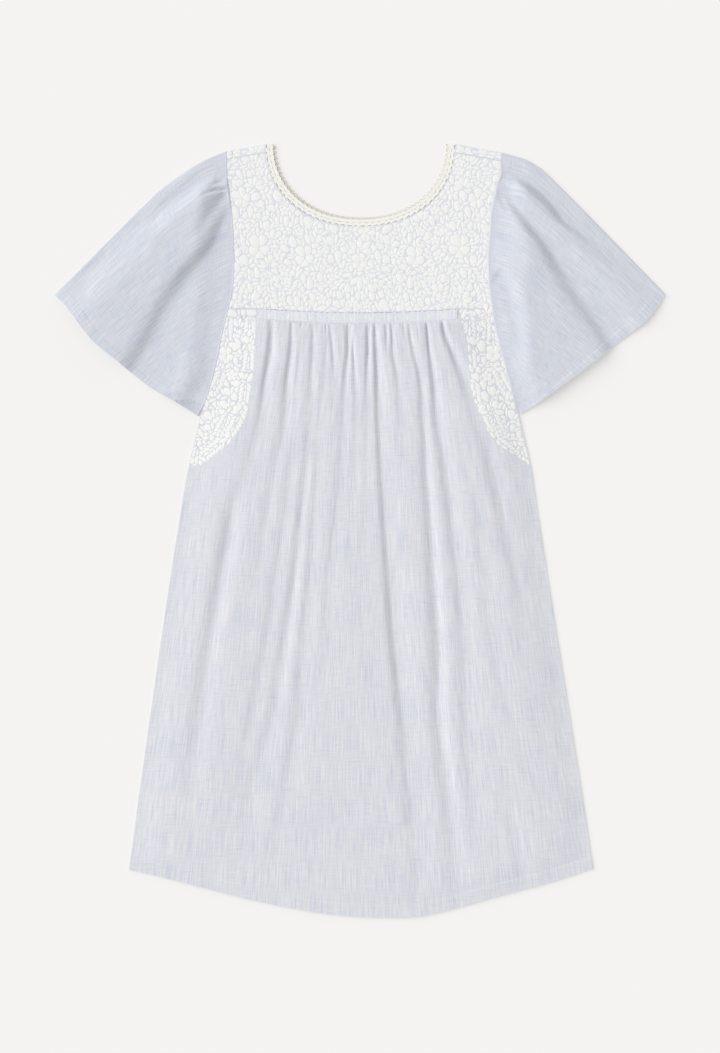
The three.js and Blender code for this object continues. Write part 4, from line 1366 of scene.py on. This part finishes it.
class Ground:
    """A grid over the cloth that knows which petal, and which group of petals, holds a cell."""

    def __init__(self, low, high, inside):
        self.low = low
        size = [int((high[k] - low[k]) / CELL) for k in range(2)]
        x, y = np.meshgrid(low[0] + np.arange(size[0]) * CELL, low[1] + np.arange(size[1]) * CELL)
        self.group = np.where(inside(x, y), 0, -1)
        self.petal = self.group.copy()
        self.petals = []
        self.group_of = [0]
        self.groups = 0

    def cells(self, x, y, steps):
        """The cells so many steps from a place, or None where some are off the grid."""
        rows = steps[0] + round((y - self.low[1]) / CELL)
        columns = steps[1] + round((x - self.low[0]) / CELL)
        last = self.group.shape
        if rows.min() < 0 or columns.min() < 0 or rows.max() >= last[0] or columns.max() >= last[1]:
            return None
        return rows, columns

    def keep(self, petal, cells):
        """Adds a petal, which holds those of its cells that are free."""
        self.petals.append(petal)
        self.group_of.append(self.groups)
        free = self.group[cells] == 0
        self.group[cells] = np.where(free, self.groups, self.group[cells])
        self.petal[cells] = np.where(free, len(self.petals), self.petal[cells])

    def is_free(self, x, y):
        return self.group[round((y - self.low[1]) / CELL), round((x - self.low[0]) / CELL)] == 0

    def shared(self, cells):
        """The share of the cells that lie off the ground or belong to an earlier petal."""
        return np.mean(self.group[cells] != 0)

    def place(self, groups):
        """Adds groups in turn. A petal tucks under the ones before it, or shrinks to fit."""
        for group in groups:
            self.groups += 1
            for petal in group:
                for scale in SCALES:
                    trial = petal._replace(length=petal.length * scale, width=petal.width * scale)
                    cells = self.cells(trial.x, trial.y, stencil(trial))
                    if cells is None:
                        break
                    if self.shared(cells) < MOST_SHARED and self.is_free(trial.x, trial.y):
                        self.keep(trial, cells)
                        break

    def scatter(self, kinds, size, rng):
        """Puts more small flowers wherever there is room for one."""
        inner = shrink(self.group == 0, int(FLOWER_ROOM * size / CELL))
        rows, columns = np.nonzero(inner)
        core_cells = stencil(Petal("leaf", 0, 0, FLOWER_CORE * size, FLOWER_CORE * size, 0))
        for n in rng.permutation(len(rows)):
            x, y = self.low[0] + columns[n] * CELL, self.low[1] + rows[n] * CELL
            core = self.cells(x, y, core_cells)
            if core is not None and not self.group[core].any():
                kind = kinds[rng.integers(len(kinds))]
                self.place([petals_of(Motif(kind, x, y, size, rng.uniform(-70, 70)))])

    def fill(self, centres, rng):
        """Tries single petals in the gaps, the large ones first, each pointing off a flower."""
        centres = np.array(centres)
        for shape, length, width in FILL_SIZES:
            model = Petal(shape, 0, 0, length, width, 0)
            turns = [stencil(model._replace(turn=360 * n / TURNS)) for n in range(TURNS)]
            inner = shrink(self.group == 0, int(PETAL_ROOM * width / CELL))
            rows, columns = np.nonzero(inner)
            order = rng.permutation(len(rows))
            for row, column in zip(rows[order], columns[order]):
                if self.group[row, column]:
                    continue
                x, y = self.low[0] + column * CELL, self.low[1] + row * CELL
                near = centres[np.argmin(np.hypot(centres[:, 0] - x, centres[:, 1] - y))]
                away = math.degrees(math.atan2(-(x - near[0]), y - near[1]))
                for extra in FILL_TURNS:
                    step = round((away + extra) / 360 * TURNS) % TURNS
                    cells = self.cells(x, y, turns[step])
                    if cells is not None and self.shared(cells) <= FILL_SHARED:
                        self.groups += 1
                        self.keep(model._replace(x=x, y=y, turn=360 * step / TURNS), cells)
                        break

    def reaches(self, shape, numbers, half_line):
        """How far each petal reaches at each corner of its rim, as a share of its own size."""
        x, y, length, width, turn = petal_columns([self.petals[n] for n in numbers])
        unit = PETALS[shape][0][:PETAL_RIM]
        across, along = unit[None, :, 0] * width, unit[None, :, 1] * length
        edge = np.hypot(across, along)
        share = (CORE * edge[..., None] + np.arange(0, LONGEST, STEP_OUT)) / edge[..., None]
        x, y, turn = x[..., None], y[..., None], turn[..., None]
        at_x, at_y = to_cloth(x, y, turn, across[..., None] * share, along[..., None] * share)
        places = [
            np.clip(np.rint((at - low) / CELL).astype(int), 0, most - 1)
            for at, low, most in zip((at_y, at_x), self.low[::-1], self.petal.shape)
        ]
        holder = self.petal[tuple(places)]
        own = holder == numbers[:, None, None] + 1
        last = np.argmin(np.concatenate([own, np.zeros_like(own[..., :1])], -1), axis=-1)
        beyond = np.minimum(last + 2, own.shape[-1] - 1)[..., None]
        beyond = np.maximum(np.take_along_axis(holder, beyond, -1)[..., 0], 0)
        group_of = np.array(self.group_of)
        same_flower = group_of[beyond] == group_of[numbers + 1][:, None]
        line = np.where(same_flower, FLOWER_LINE, half_line(y[..., 0]))
        most = edge + (LEAF_GROWTH if shape == "leaf" else PETAL_GROWTH)
        reach = np.minimum(CORE * edge + STEP_OUT * last, most) - line
        reach = np.maximum(reach, CORE * edge) / edge
        return 0.5 * reach + 0.25 * (np.roll(reach, 1, 1) + np.roll(reach, -1, 1))

    def spread(self, half_line, rng):
        """Lets each petal grow or draw back until a thin line of cloth parts it from the next.

        Petals that are cut too small by their neighbours are left out first."""
        counts = np.bincount(self.petal[self.petal > 0], minlength=len(self.petals) + 1)
        large = counts[1:] * CELL**2 >= SMALLEST
        self.petal[np.isin(self.petal, np.flatnonzero(~large) + 1)] = 0
        for _ in range(SPREAD_STEPS):
            for shift, axis in ((1, 0), (-1, 0), (1, 1), (-1, 1)):
                beside = np.roll(self.petal, shift, axis)
                take = (self.petal == 0) & (beside > 0)
                self.petal[take] = beside[take]
        grown = []
        for shape in PETALS:
            chosen = [n for n, petal in enumerate(self.petals) if petal.shape == shape and large[n]]
            if not chosen:
                continue
            reach = self.reaches(shape, np.array(chosen), half_line)
            reach *= 1 + RIM_UNEVEN * rng.uniform(-1, 1, reach.shape)
            grown += [self.petals[n]._replace(reach=row) for n, row in zip(chosen, reach)]
        self.petals = grown


print("sizes of the petals in the gaps:", len(FILL_SIZES))

# %% Where petals may lie
CLEAR = 0.4
SEAM_CLEAR = 0.3
SHOULDER_CLEAR = 1.2
LOWEST_PETAL = 75


def inside_neck(x, y, out):
    across = np.abs((x - NECK_CENTRE_X) / (NECK_HALF_WIDTH + out)) ** NECK_ROUNDNESS
    down = np.abs((SHOULDER_Y - y) / (NECK_DEPTH + out)) ** NECK_ROUNDNESS
    return across + down < 1


def inside_front(x, y):
    """The front yoke, the strips that come over the shoulders, and the skirt's two sides."""
    between = (x > left_side(y) + CLEAR) & (x < right_side(y) - CLEAR)
    yoke = ~inside_neck(x, y, EDGING_WIDTH + 2 * CLEAR)
    yoke &= (y > yoke_seam(x) + SEAM_CLEAR) & (y < shoulder_at(x) - SHOULDER_CLEAR)
    edge_left = read_table(SIDE_EDGE, "y", "left", y)
    edge_right = read_table(SIDE_EDGE, "y", "right", y)
    beside = ((x < edge_left) | (x > edge_right)) & (y < yoke_seam(x) - SEAM_CLEAR)
    beside &= y > LOWEST_PETAL
    shoulder_seam = np.abs(y - shoulder_at(x) + SHOULDER_TURN) < CLEAR
    return between & (yoke | beside) & ~shoulder_seam


print("the neck's clear width in mm:", 2 * NECK_HALF_WIDTH)

# %% Petals on the cloth


def front_height(x, y):
    return np.where(y > yoke_seam(x), yoke_height(x, y), skirt_height(x, y))


def stitch_petals(name, petals, height, material, up=1, thick=THREAD_RISE):
    """One mesh of all the petals, each a closed low cushion that follows the cloth."""
    places, faces, flat = [], [], []
    rng = np.random.default_rng(5)
    first = 0
    for shape, (unit, unit_faces, rim_of) in PETALS.items():
        chosen = [petal for petal in petals if petal.shape == shape]
        if not chosen:
            continue
        x, y, length, width, turn = petal_columns(chosen)
        reach = np.array([petal.reach for petal in chosen])[:, rim_of]
        across = up * unit[None, :, 0] * width * reach
        along = unit[None, :, 1] * length * reach
        at_x, at_y = to_cloth(x, y, turn, across, along)
        rise = thick * np.clip(width / 4, 0.7, 1.2) * rng.uniform(0.85, 1.15, width.shape)
        at_z = height(at_x, at_y) + up * (unit[None, :, 2] * rise - PETAL_SINK)
        places.append(np.stack([at_x, at_y, at_z], -1).reshape(-1, 3))
        local = np.stack([across, along], -1) + rng.uniform(0, UV_APART, (len(chosen), 1, 2))
        flat.append(local.reshape(-1, 2))
        for n in range(len(chosen)):
            faces += [[first + n * len(unit) + corner for corner in face] for face in unit_faces]
        first += len(chosen) * len(unit)
    uv = np.concatenate(flat)[np.concatenate(faces)]
    piece = make_mesh(name, np.concatenate(places), faces, uv, material, "thread")
    print(name, "petals:", len(petals), "triangles:", sum(len(face) - 2 for face in faces))
    return piece


# %% Front embroidery
SIDE_LINE = 0.4
SCATTERED = [
    (13, ("trefoil", "rosebud", "bloom")),
    (11, ("trefoil", "rosebud", "bud")),
    (9, ("trefoil", "bud", "tulip", "bloom")),
    (7.4, ("bud", "trefoil", "tulip")),
]


def half_line(y):
    """Half the width of the blue line between petals: more cloth shows at the sides."""
    return np.where(y > YOKE_SEAM_Y - 5, HALF_LINE, SIDE_LINE)


rng = np.random.default_rng(41)
front_ground = Ground((-202, 72), (202, 452), inside_front)
front_ground.place([petals_of(MIDDLE_FLOWER)])
for motifs, sprays, leaf in (
    (LARGE_FLOWERS, [], YOKE_LEAF),
    (SMALL_FLOWERS, [], YOKE_LEAF),
    (FANS, SPRAYS, YOKE_LEAF),
    ([], SIDE_SPRAYS, SIDE_LEAF),
    (SIDE_FLOWERS, [], SIDE_LEAF),
):
    front_ground.place(groups_of(motifs, sprays, rng, leaf))
by_hand = len(front_ground.petals)
for size, kinds in SCATTERED:
    front_ground.scatter(kinds, size, rng)
centres = [(m.x, m.y) for m in [MIDDLE_FLOWER, *LARGE_FLOWERS, *SMALL_FLOWERS, *SIDE_FLOWERS]]
front_ground.fill(centres + [(-x, y) for x, y in centres], rng)
front_ground.spread(half_line, rng)
print("petals by hand:", by_hand, "in all:", len(front_ground.petals))
front_flowers = stitch_petals("front_embroidery", front_ground.petals, front_height, white_thread)
settle(front_flowers, "embroidered_cotton")

# %% Back embroidery
UNDERSIDE = BACK_YOKE_MIDDLE - SHELL / 2


def on_back(petal):
    reach = petal.length / 2
    seam = yoke_seam(petal.x) + reach < petal.y < shoulder_at(petal.x) - reach
    return seam and not inside_neck(petal.x, petal.y, EDGING_WIDTH + reach + BACK_NECK_SHIFT)


turned = [petal._replace(x=-petal.x, turn=-petal.turn) for petal in front_ground.petals]
back_flowers = stitch_petals(
    "back_embroidery",
    [petal for petal in turned if on_back(petal)],
    lambda x, y: np.full(x.shape, UNDERSIDE),
    white_thread,
    up=-1,
)
settle(back_flowers, "embroidered_cotton")

# %% [markdown]
# ## The neck edging
# The neck is finished with a narrow crochet tape: cream, with raised cords along it, a tan line in
# its middle, small picots at the neck and a row of ladder holes beside the seam. The shade inside
# the
# holes is painted: the tape has no openings, and dark olive stitches lie on it where the holes are.
# The tape is one closed strip that turns over both shoulders. The picots are one thin cord that
# runs in small waves, and the ladder's rungs and the painted shadows of its holes are low stitches.

# %% Edging places
EDGING_STEPS = 420
TURN_STEPS = np.linspace(0, 1, 9)[1:-1]
turn_middle = BACK_YOKE_MIDDLE + turn_radius


def edging_columns():
    """Places at the neck's edge and at the seam, all round, and how far the strip has turned."""
    inner, outer, angle = [], [], []
    t = np.linspace(0, 1, EDGING_STEPS)
    for shift, start, way in ((0, math.pi, 1), (BACK_NECK_SHIFT, 0, -1)):
        seam, edge = neck_line(EDGING_WIDTH, shift), neck_line(0, shift)
        first = turn_radius / seam.length
        share = mix(first, 1 - first, t[::way])
        inner += [*edge(share), *[edge(share[-1])] * len(TURN_STEPS)]
        outer += [*seam(share), *[seam(share[-1])] * len(TURN_STEPS)]
        angle += [*np.full(EDGING_STEPS, start), *(start - way * math.pi * TURN_STEPS)]
    return np.array(inner), np.array(outer), np.array(angle)


edge_in, edge_out, edge_turn = edging_columns()
edge_way = (edge_out - edge_in) / np.linalg.norm(edge_out - edge_in, axis=1)[:, None]
edge_steps = np.linalg.norm(np.diff(edge_in, axis=0, append=edge_in[:1]), axis=1)
edge_along = np.cumsum(edge_steps)


def on_edging(offset, lift):
    """Places all round the edging, so far in mm from the neck's edge."""
    radius = turn_radius + lift
    place = edge_in + edge_way * np.reshape(offset, (-1, 1))
    y = place[:, 1] + radius * np.sin(edge_turn)
    return np.stack([place[:, 0], y, turn_middle - radius * np.cos(edge_turn)], -1)


print("edging all round in mm:", round(edge_along[-1]))

# %% Crochet materials
CREAM = (0.92, 0.915, 0.88)
CREAM_SHADE = (0.82, 0.81, 0.75)
TAN = (0.76, 0.70, 0.57)
TAN_SHADE = (0.58, 0.52, 0.40)
# This olive is painted shadow: the shade inside the ladder holes, laid on the tape as dark
# stitches.
OLIVE_PAINTED_SHADOW = (0.24, 0.23, 0.17)
cream_thread = satin_thread("cream_crochet_thread", CREAM, CREAM_SHADE)
tan_thread = satin_thread("tan_crochet_thread", TAN, TAN_SHADE)
painted_hole_shadow = satin_thread("painted_shadow_of_the_ladder_holes", OLIVE_PAINTED_SHADOW, OLIVE_PAINTED_SHADOW)

# %% Edging tape
Cord = namedtuple("Cord", "offset lift")
TAPE = rows_of(Cord, [
    (0.5, 0.0), (1.1, 0.22), (1.8, 0.04), (2.5, 0.24), (3.3, 0.04), (4.3, 0.04), (5.0, 0.24),
    (5.7, 0.04), (6.4, 0.2), (7.4, 0.02), (8.6, 0.1),
])
tape = np.array([on_edging(cord.offset, cord.lift - 0.1) for cord in TAPE])
flat = np.array([np.column_stack([edge_along, np.full(len(edge_along), c.offset)]) for c in TAPE])
edging = cloth_sheet("neck_edging_tape", tape, flat, cream_thread, closed=True, flip=True)
settle(edging, "crochet_cotton", "neck_edging")

# %% Cords of the edging
CORD_SIDES = 6


def cord(name, path, radius, material):
    """A closed tube round a line of places that ends where it starts."""
    ahead = np.roll(path, -1, 0) - np.roll(path, 1, 0)
    ahead /= np.linalg.norm(ahead, axis=1)[:, None]
    beside = np.cross(ahead, [0.02, 0.03, 1.0])
    beside /= np.linalg.norm(beside, axis=1)[:, None]
    above = np.cross(beside, ahead)
    angle = np.linspace(0, 2 * math.pi, CORD_SIDES, endpoint=False)[:, None, None]
    tube = path + radius * (np.cos(angle) * beside + np.sin(angle) * above)
    faces = grid_faces(CORD_SIDES, len(path), closed=True)
    last = CORD_SIDES * len(path)
    wrap = grid_faces(2, len(path), closed=True) + last - len(path)
    wrap = np.where(wrap >= last, wrap - last, wrap)
    faces = np.concatenate([faces, wrap])
    along = np.cumsum(np.linalg.norm(np.diff(path, axis=0, append=path[:1]), axis=1))
    uv = np.stack(np.broadcast_arrays(angle[..., 0] * radius, along[None]), -1).reshape(-1, 2)
    piece = make_mesh(name, tube, faces.tolist(), uv[faces.ravel()], material)
    print(name, "faces:", len(faces))
    return piece


PICOT_PITCH = 6.2
picots = round(edge_along[-1] / PICOT_PITCH)
wave = 2 * math.pi * picots * edge_along / edge_along[-1]
for name, offset, swing, turns, lift, radius, thread in (
    ("picot_cord", -0.7, 1.5, 1, 0.1, 0.3, tan_thread),
    ("picot_thread", 0.3, 0.6, 1, 0.1, 0.45, cream_thread),
    ("middle_cord", 3.8, 0.12, 3, 0.05, 0.2, tan_thread),
):
    path = on_edging(offset + swing * np.cos(turns * wave), lift)
    settle(cord(name, path, radius, thread), "crochet_cotton")

# %% Ladder of the edging
LADDER_PITCH = 7.2


def ladder(offset, length, width, shift=0.0):
    """Stitches along the edging's front, so far from the neck's edge."""
    places = slice(2, EDGING_STEPS - 2)
    along, line = edge_along[places], edge_in[places] + offset * edge_way[places]
    stitches = []
    rng = np.random.default_rng(int(10 * offset))
    for at in np.arange(along[0] + shift * LADDER_PITCH, along[-1], LADDER_PITCH):
        at += rng.uniform(-0.9, 0.9)
        x, y = (np.interp(at, along, line[:, k]) for k in range(2))
        way = [np.interp(at, along, edge_way[places][:, k]) for k in range(2)]
        turn = math.degrees(math.atan2(-way[0], way[1])) + 90
        size = rng.uniform(0.6, 1.15)
        wide = width * rng.uniform(0.7, 1.1)
        stitches.append(Petal("round", x, y, length * size, wide, turn))
    return stitches


def edging_face(x, y):
    return np.full(x.shape, turn_middle + turn_radius + SHELL / 2)


# The dark stitches are painted shadow: they stand for the shade seen through the ladder holes.
gaps = ladder(7.6, 5.2, 0.9) + ladder(4.2, 4.0, 0.4, shift=0.5)
rungs = ladder(7.5, 1.5, 2.4, shift=0.5)
for name, stitches, thread, thick in (
    ("ladder_holes_painted_shadow", gaps, painted_hole_shadow, 0.12),
    ("ladder_rungs", rungs, cream_thread, 0.4),
):
    settle(stitch_petals(name, stitches, edging_face, thread, thick=thick), "crochet_cotton")

# %% [markdown]
# ## The gather band
# A strip of the same blue cotton lies over the gathers below the yoke. It puckers a little with
# them, and a white thread crosses it in a zigzag, with a small white knot at every few gathers. A
# broken dark thread joins it to the yoke.

# %% Gather band
BAND_THICK = 0.6


def band_height(x, y):
    below = (yoke_seam(x) - y) / BAND_HEIGHT
    pucker = ripples(x, y * 0.15, 61, 3.4) + 0.7 * ripples(x, y * 0.1, 62, 7)
    return FRONT_FACE + BAND_THICK + 0.16 * pucker + 0.25 * np.sin(math.pi * np.clip(below, 0, 1))


x = np.linspace(BAND_LEFT, BAND_RIGHT, 420)
down = np.linspace(SEAM_GAP, BAND_HEIGHT, 11)[:, None]
strip = np.stack(np.broadcast_arrays(x[None], yoke_seam(x)[None] - down), -1)
# The band is the same cloth as the skirt; its paler cotton is painted light.
band = cloth_sheet(
    "gather_band_cloth",
    np.dstack([strip, band_height(strip[..., 0], strip[..., 1]) - SHELL / 2]),
    strip,
    yoke_cotton_painted_light,
    flip=True,
)
settle(band, "slub_cotton", "gather_band")

# %% Threads of the band
ZIGZAG = 9.2
ZIGZAG_HALF = 2.9
KNOTS = (-104, -83.5, -57, -31, -10, 13, 34, 54.5, 80, 97)


def along_band(x, below):
    return float(yoke_seam(np.array(x))) - below


zigzag, up = [], 1
for x in np.arange(BAND_LEFT + 3, BAND_RIGHT - 3, ZIGZAG / 2):
    turn = -up * math.degrees(math.atan2(ZIGZAG / 2, 2 * ZIGZAG_HALF))
    zigzag.append(Petal("round", x, along_band(x, 6), math.hypot(ZIGZAG / 2, 6), 0.55, turn))
    up = -up
knots = []
for x in KNOTS:
    y = along_band(x, 7.4)
    knots += [Petal("round", x + dx, y + dy, 2.6, 1.9, turn) for dx, dy, turn in
              ((-1.1, 0.5, 40), (1.1, 0.5, -40), (0, -1.1, 0))]
    knots += [Petal("leaf", x + side * 1.2, y + 3.2, 4.2, 0.9, -side * 18) for side in (-1, 1)]
band_threads = stitch_petals("band_threads", zigzag + knots, band_height, white_thread)
settle(band_threads, "slub_cotton")

# %% [markdown]
# ## Seams and hems
# The hem of the skirt and the sleeve hems are turned up and sewn with small running stitches, and
# the yoke is joined to the band and to the sides with a darker thread. A stitch is a small low
# cushion, as a petal is. Each is dropped onto the cloth below it.

# %% Running stitches
NAVY = (0.24, 0.26, 0.34)
PALE_BLUE = (0.74, 0.77, 0.84)
navy_thread = satin_thread("navy_thread", NAVY, NAVY)
pale_thread = satin_thread("pale_blue_thread", PALE_BLUE, COTTON_MEAN)


def lies_on(*pieces):
    """A height function that drops each place onto the pieces of cloth below it."""

    def height(x, y):
        tops = []
        for place in np.column_stack([np.ravel(x), np.ravel(y)]) * MM:
            start = (place[0], place[1], 0.2)
            hits = [piece.ray_cast(start, (0, 0, -1)) for piece in pieces]
            tops.append(max((hit[1].z / MM for hit in hits if hit[0]), default=FRONT_FACE))
        return np.reshape(tops, np.shape(x))

    return height


def running_stitches(line, sizes, rng, uneven=0.2):
    """Stitches along a line of places, one after the other. Sizes: length, gap and width."""
    length, gap, width = sizes
    stitches, at = [], 1.0
    while at < line.length - length:
        share = (at + length / 2) / line.length
        x, y = line(share)
        ahead = line(min(1, share + 0.004)) - line(max(0, share - 0.004))
        turn = math.degrees(math.atan2(-ahead[0], ahead[1]))
        stitches.append(Petal("round", x, y, length, width, turn))
        at += (length + gap) * (1 + uneven * rng.uniform(-1, 1))
    return stitches


def line_of(x, y):
    return by_length(np.column_stack([x, y]))


def moved_in(rows, away):
    """The line through the places, moved sideways."""
    points = line_through(rows)(np.linspace(0.02, 0.98, 200))
    ahead = np.gradient(points, axis=0)
    ahead /= np.linalg.norm(ahead, axis=1)[:, None]
    return by_length(points + away * np.column_stack([-ahead[:, 1], ahead[:, 0]]))


print("helpers for running stitches ready")

# %% Seams of the yoke
BAND_STITCH = (3.4, 1.8, 0.5)
SIDE_STITCH = (2.6, 1.6, 0.3)
SHOULDER_STITCH = (2.8, 1.4, 0.34)
rng = np.random.default_rng(77)
x = np.linspace(BAND_LEFT, BAND_RIGHT, 200)
band_seam = running_stitches(line_of(x, yoke_seam(x) - 0.3), BAND_STITCH, rng, 0.6)
side_seams = []
for low, high in ((left_side(257) + 1, BAND_LEFT), (BAND_RIGHT, right_side(257) - 1)):
    x = np.linspace(low, high, 40)
    side_seams += running_stitches(line_of(x, yoke_seam(x)), SIDE_STITCH, rng, 0.5)
    x = np.linspace(float(left_side(437)) + 2, -NECK_HALF_WIDTH - EDGING_WIDTH, 40)
    if low > 0:
        x = np.linspace(NECK_HALF_WIDTH + EDGING_WIDTH, float(right_side(437)) - 2, 40)
    shoulder = line_of(x, shoulder_at(x) - SHOULDER_TURN)
    side_seams += running_stitches(shoulder, SHOULDER_STITCH, rng)
seam_threads = stitch_petals(
    "seam_threads",
    band_seam + side_seams,
    lies_on(band, front_yoke, back_yoke, front_skirt),
    navy_thread,
)
settle(seam_threads, "embroidered_cotton")

# %% Armhole seams
SEAM_ROWS = np.array([-1, -0.6, 0, 0.6, 1])
SEAM_WIDTH = 2.6
SEAM_ROUND = 0.35
SEAM_SINK = 0.1
BESIDE_SEAM = 0.9
bpy.context.view_layer.update()
for side, side_at, top in (("left", left_side, 440), ("right", right_side, 438)):
    y = np.linspace(top, SLEEVE_FOOT[side] + 2, 240)
    x = side_at(y) + SEAM_ROWS[:, None] * SEAM_WIDTH / 2
    beside = lies_on(front_yoke, back_yoke, front_skirt, *sleeves)
    low = beside(side_at(y) - BESIDE_SEAM, y)
    high = beside(side_at(y) + BESIDE_SEAM, y)
    share = (SEAM_ROWS[:, None] + 1) / 2
    rise = SEAM_ROUND * (1 - SEAM_ROWS[:, None] ** 2) - SEAM_SINK
    z = mix(low, high, share) + rise - SHELL / 2
    strip = np.stack(np.broadcast_arrays(x, y[None], z), -1)
    seam = cloth_sheet(f"{side}_armhole_seam", strip, strip[..., :2], sleeve_cotton_painted_shade, flip=True)
    settle(seam, "slub_cotton")

# %% Hem stitches
HEM_STITCH = (2.6, 1, 0.7)
x = np.linspace(SIDES[-1].left + 3, SIDES[-1].right - 3, 300)
hem_stitches = running_stitches(line_of(x, hem_line(x) + HEM_HEIGHT), HEM_STITCH, rng)
for side, way in (("left", 1), ("right", -1)):
    line = moved_in(SLEEVE_HEM[side], way * HEM_HEIGHT)
    hem_stitches += running_stitches(line, HEM_STITCH, rng)
hem_threads = stitch_petals(
    "hem_threads", hem_stitches, lies_on(front_skirt, *sleeves), pale_thread
)
settle(hem_threads, "slub_cotton")
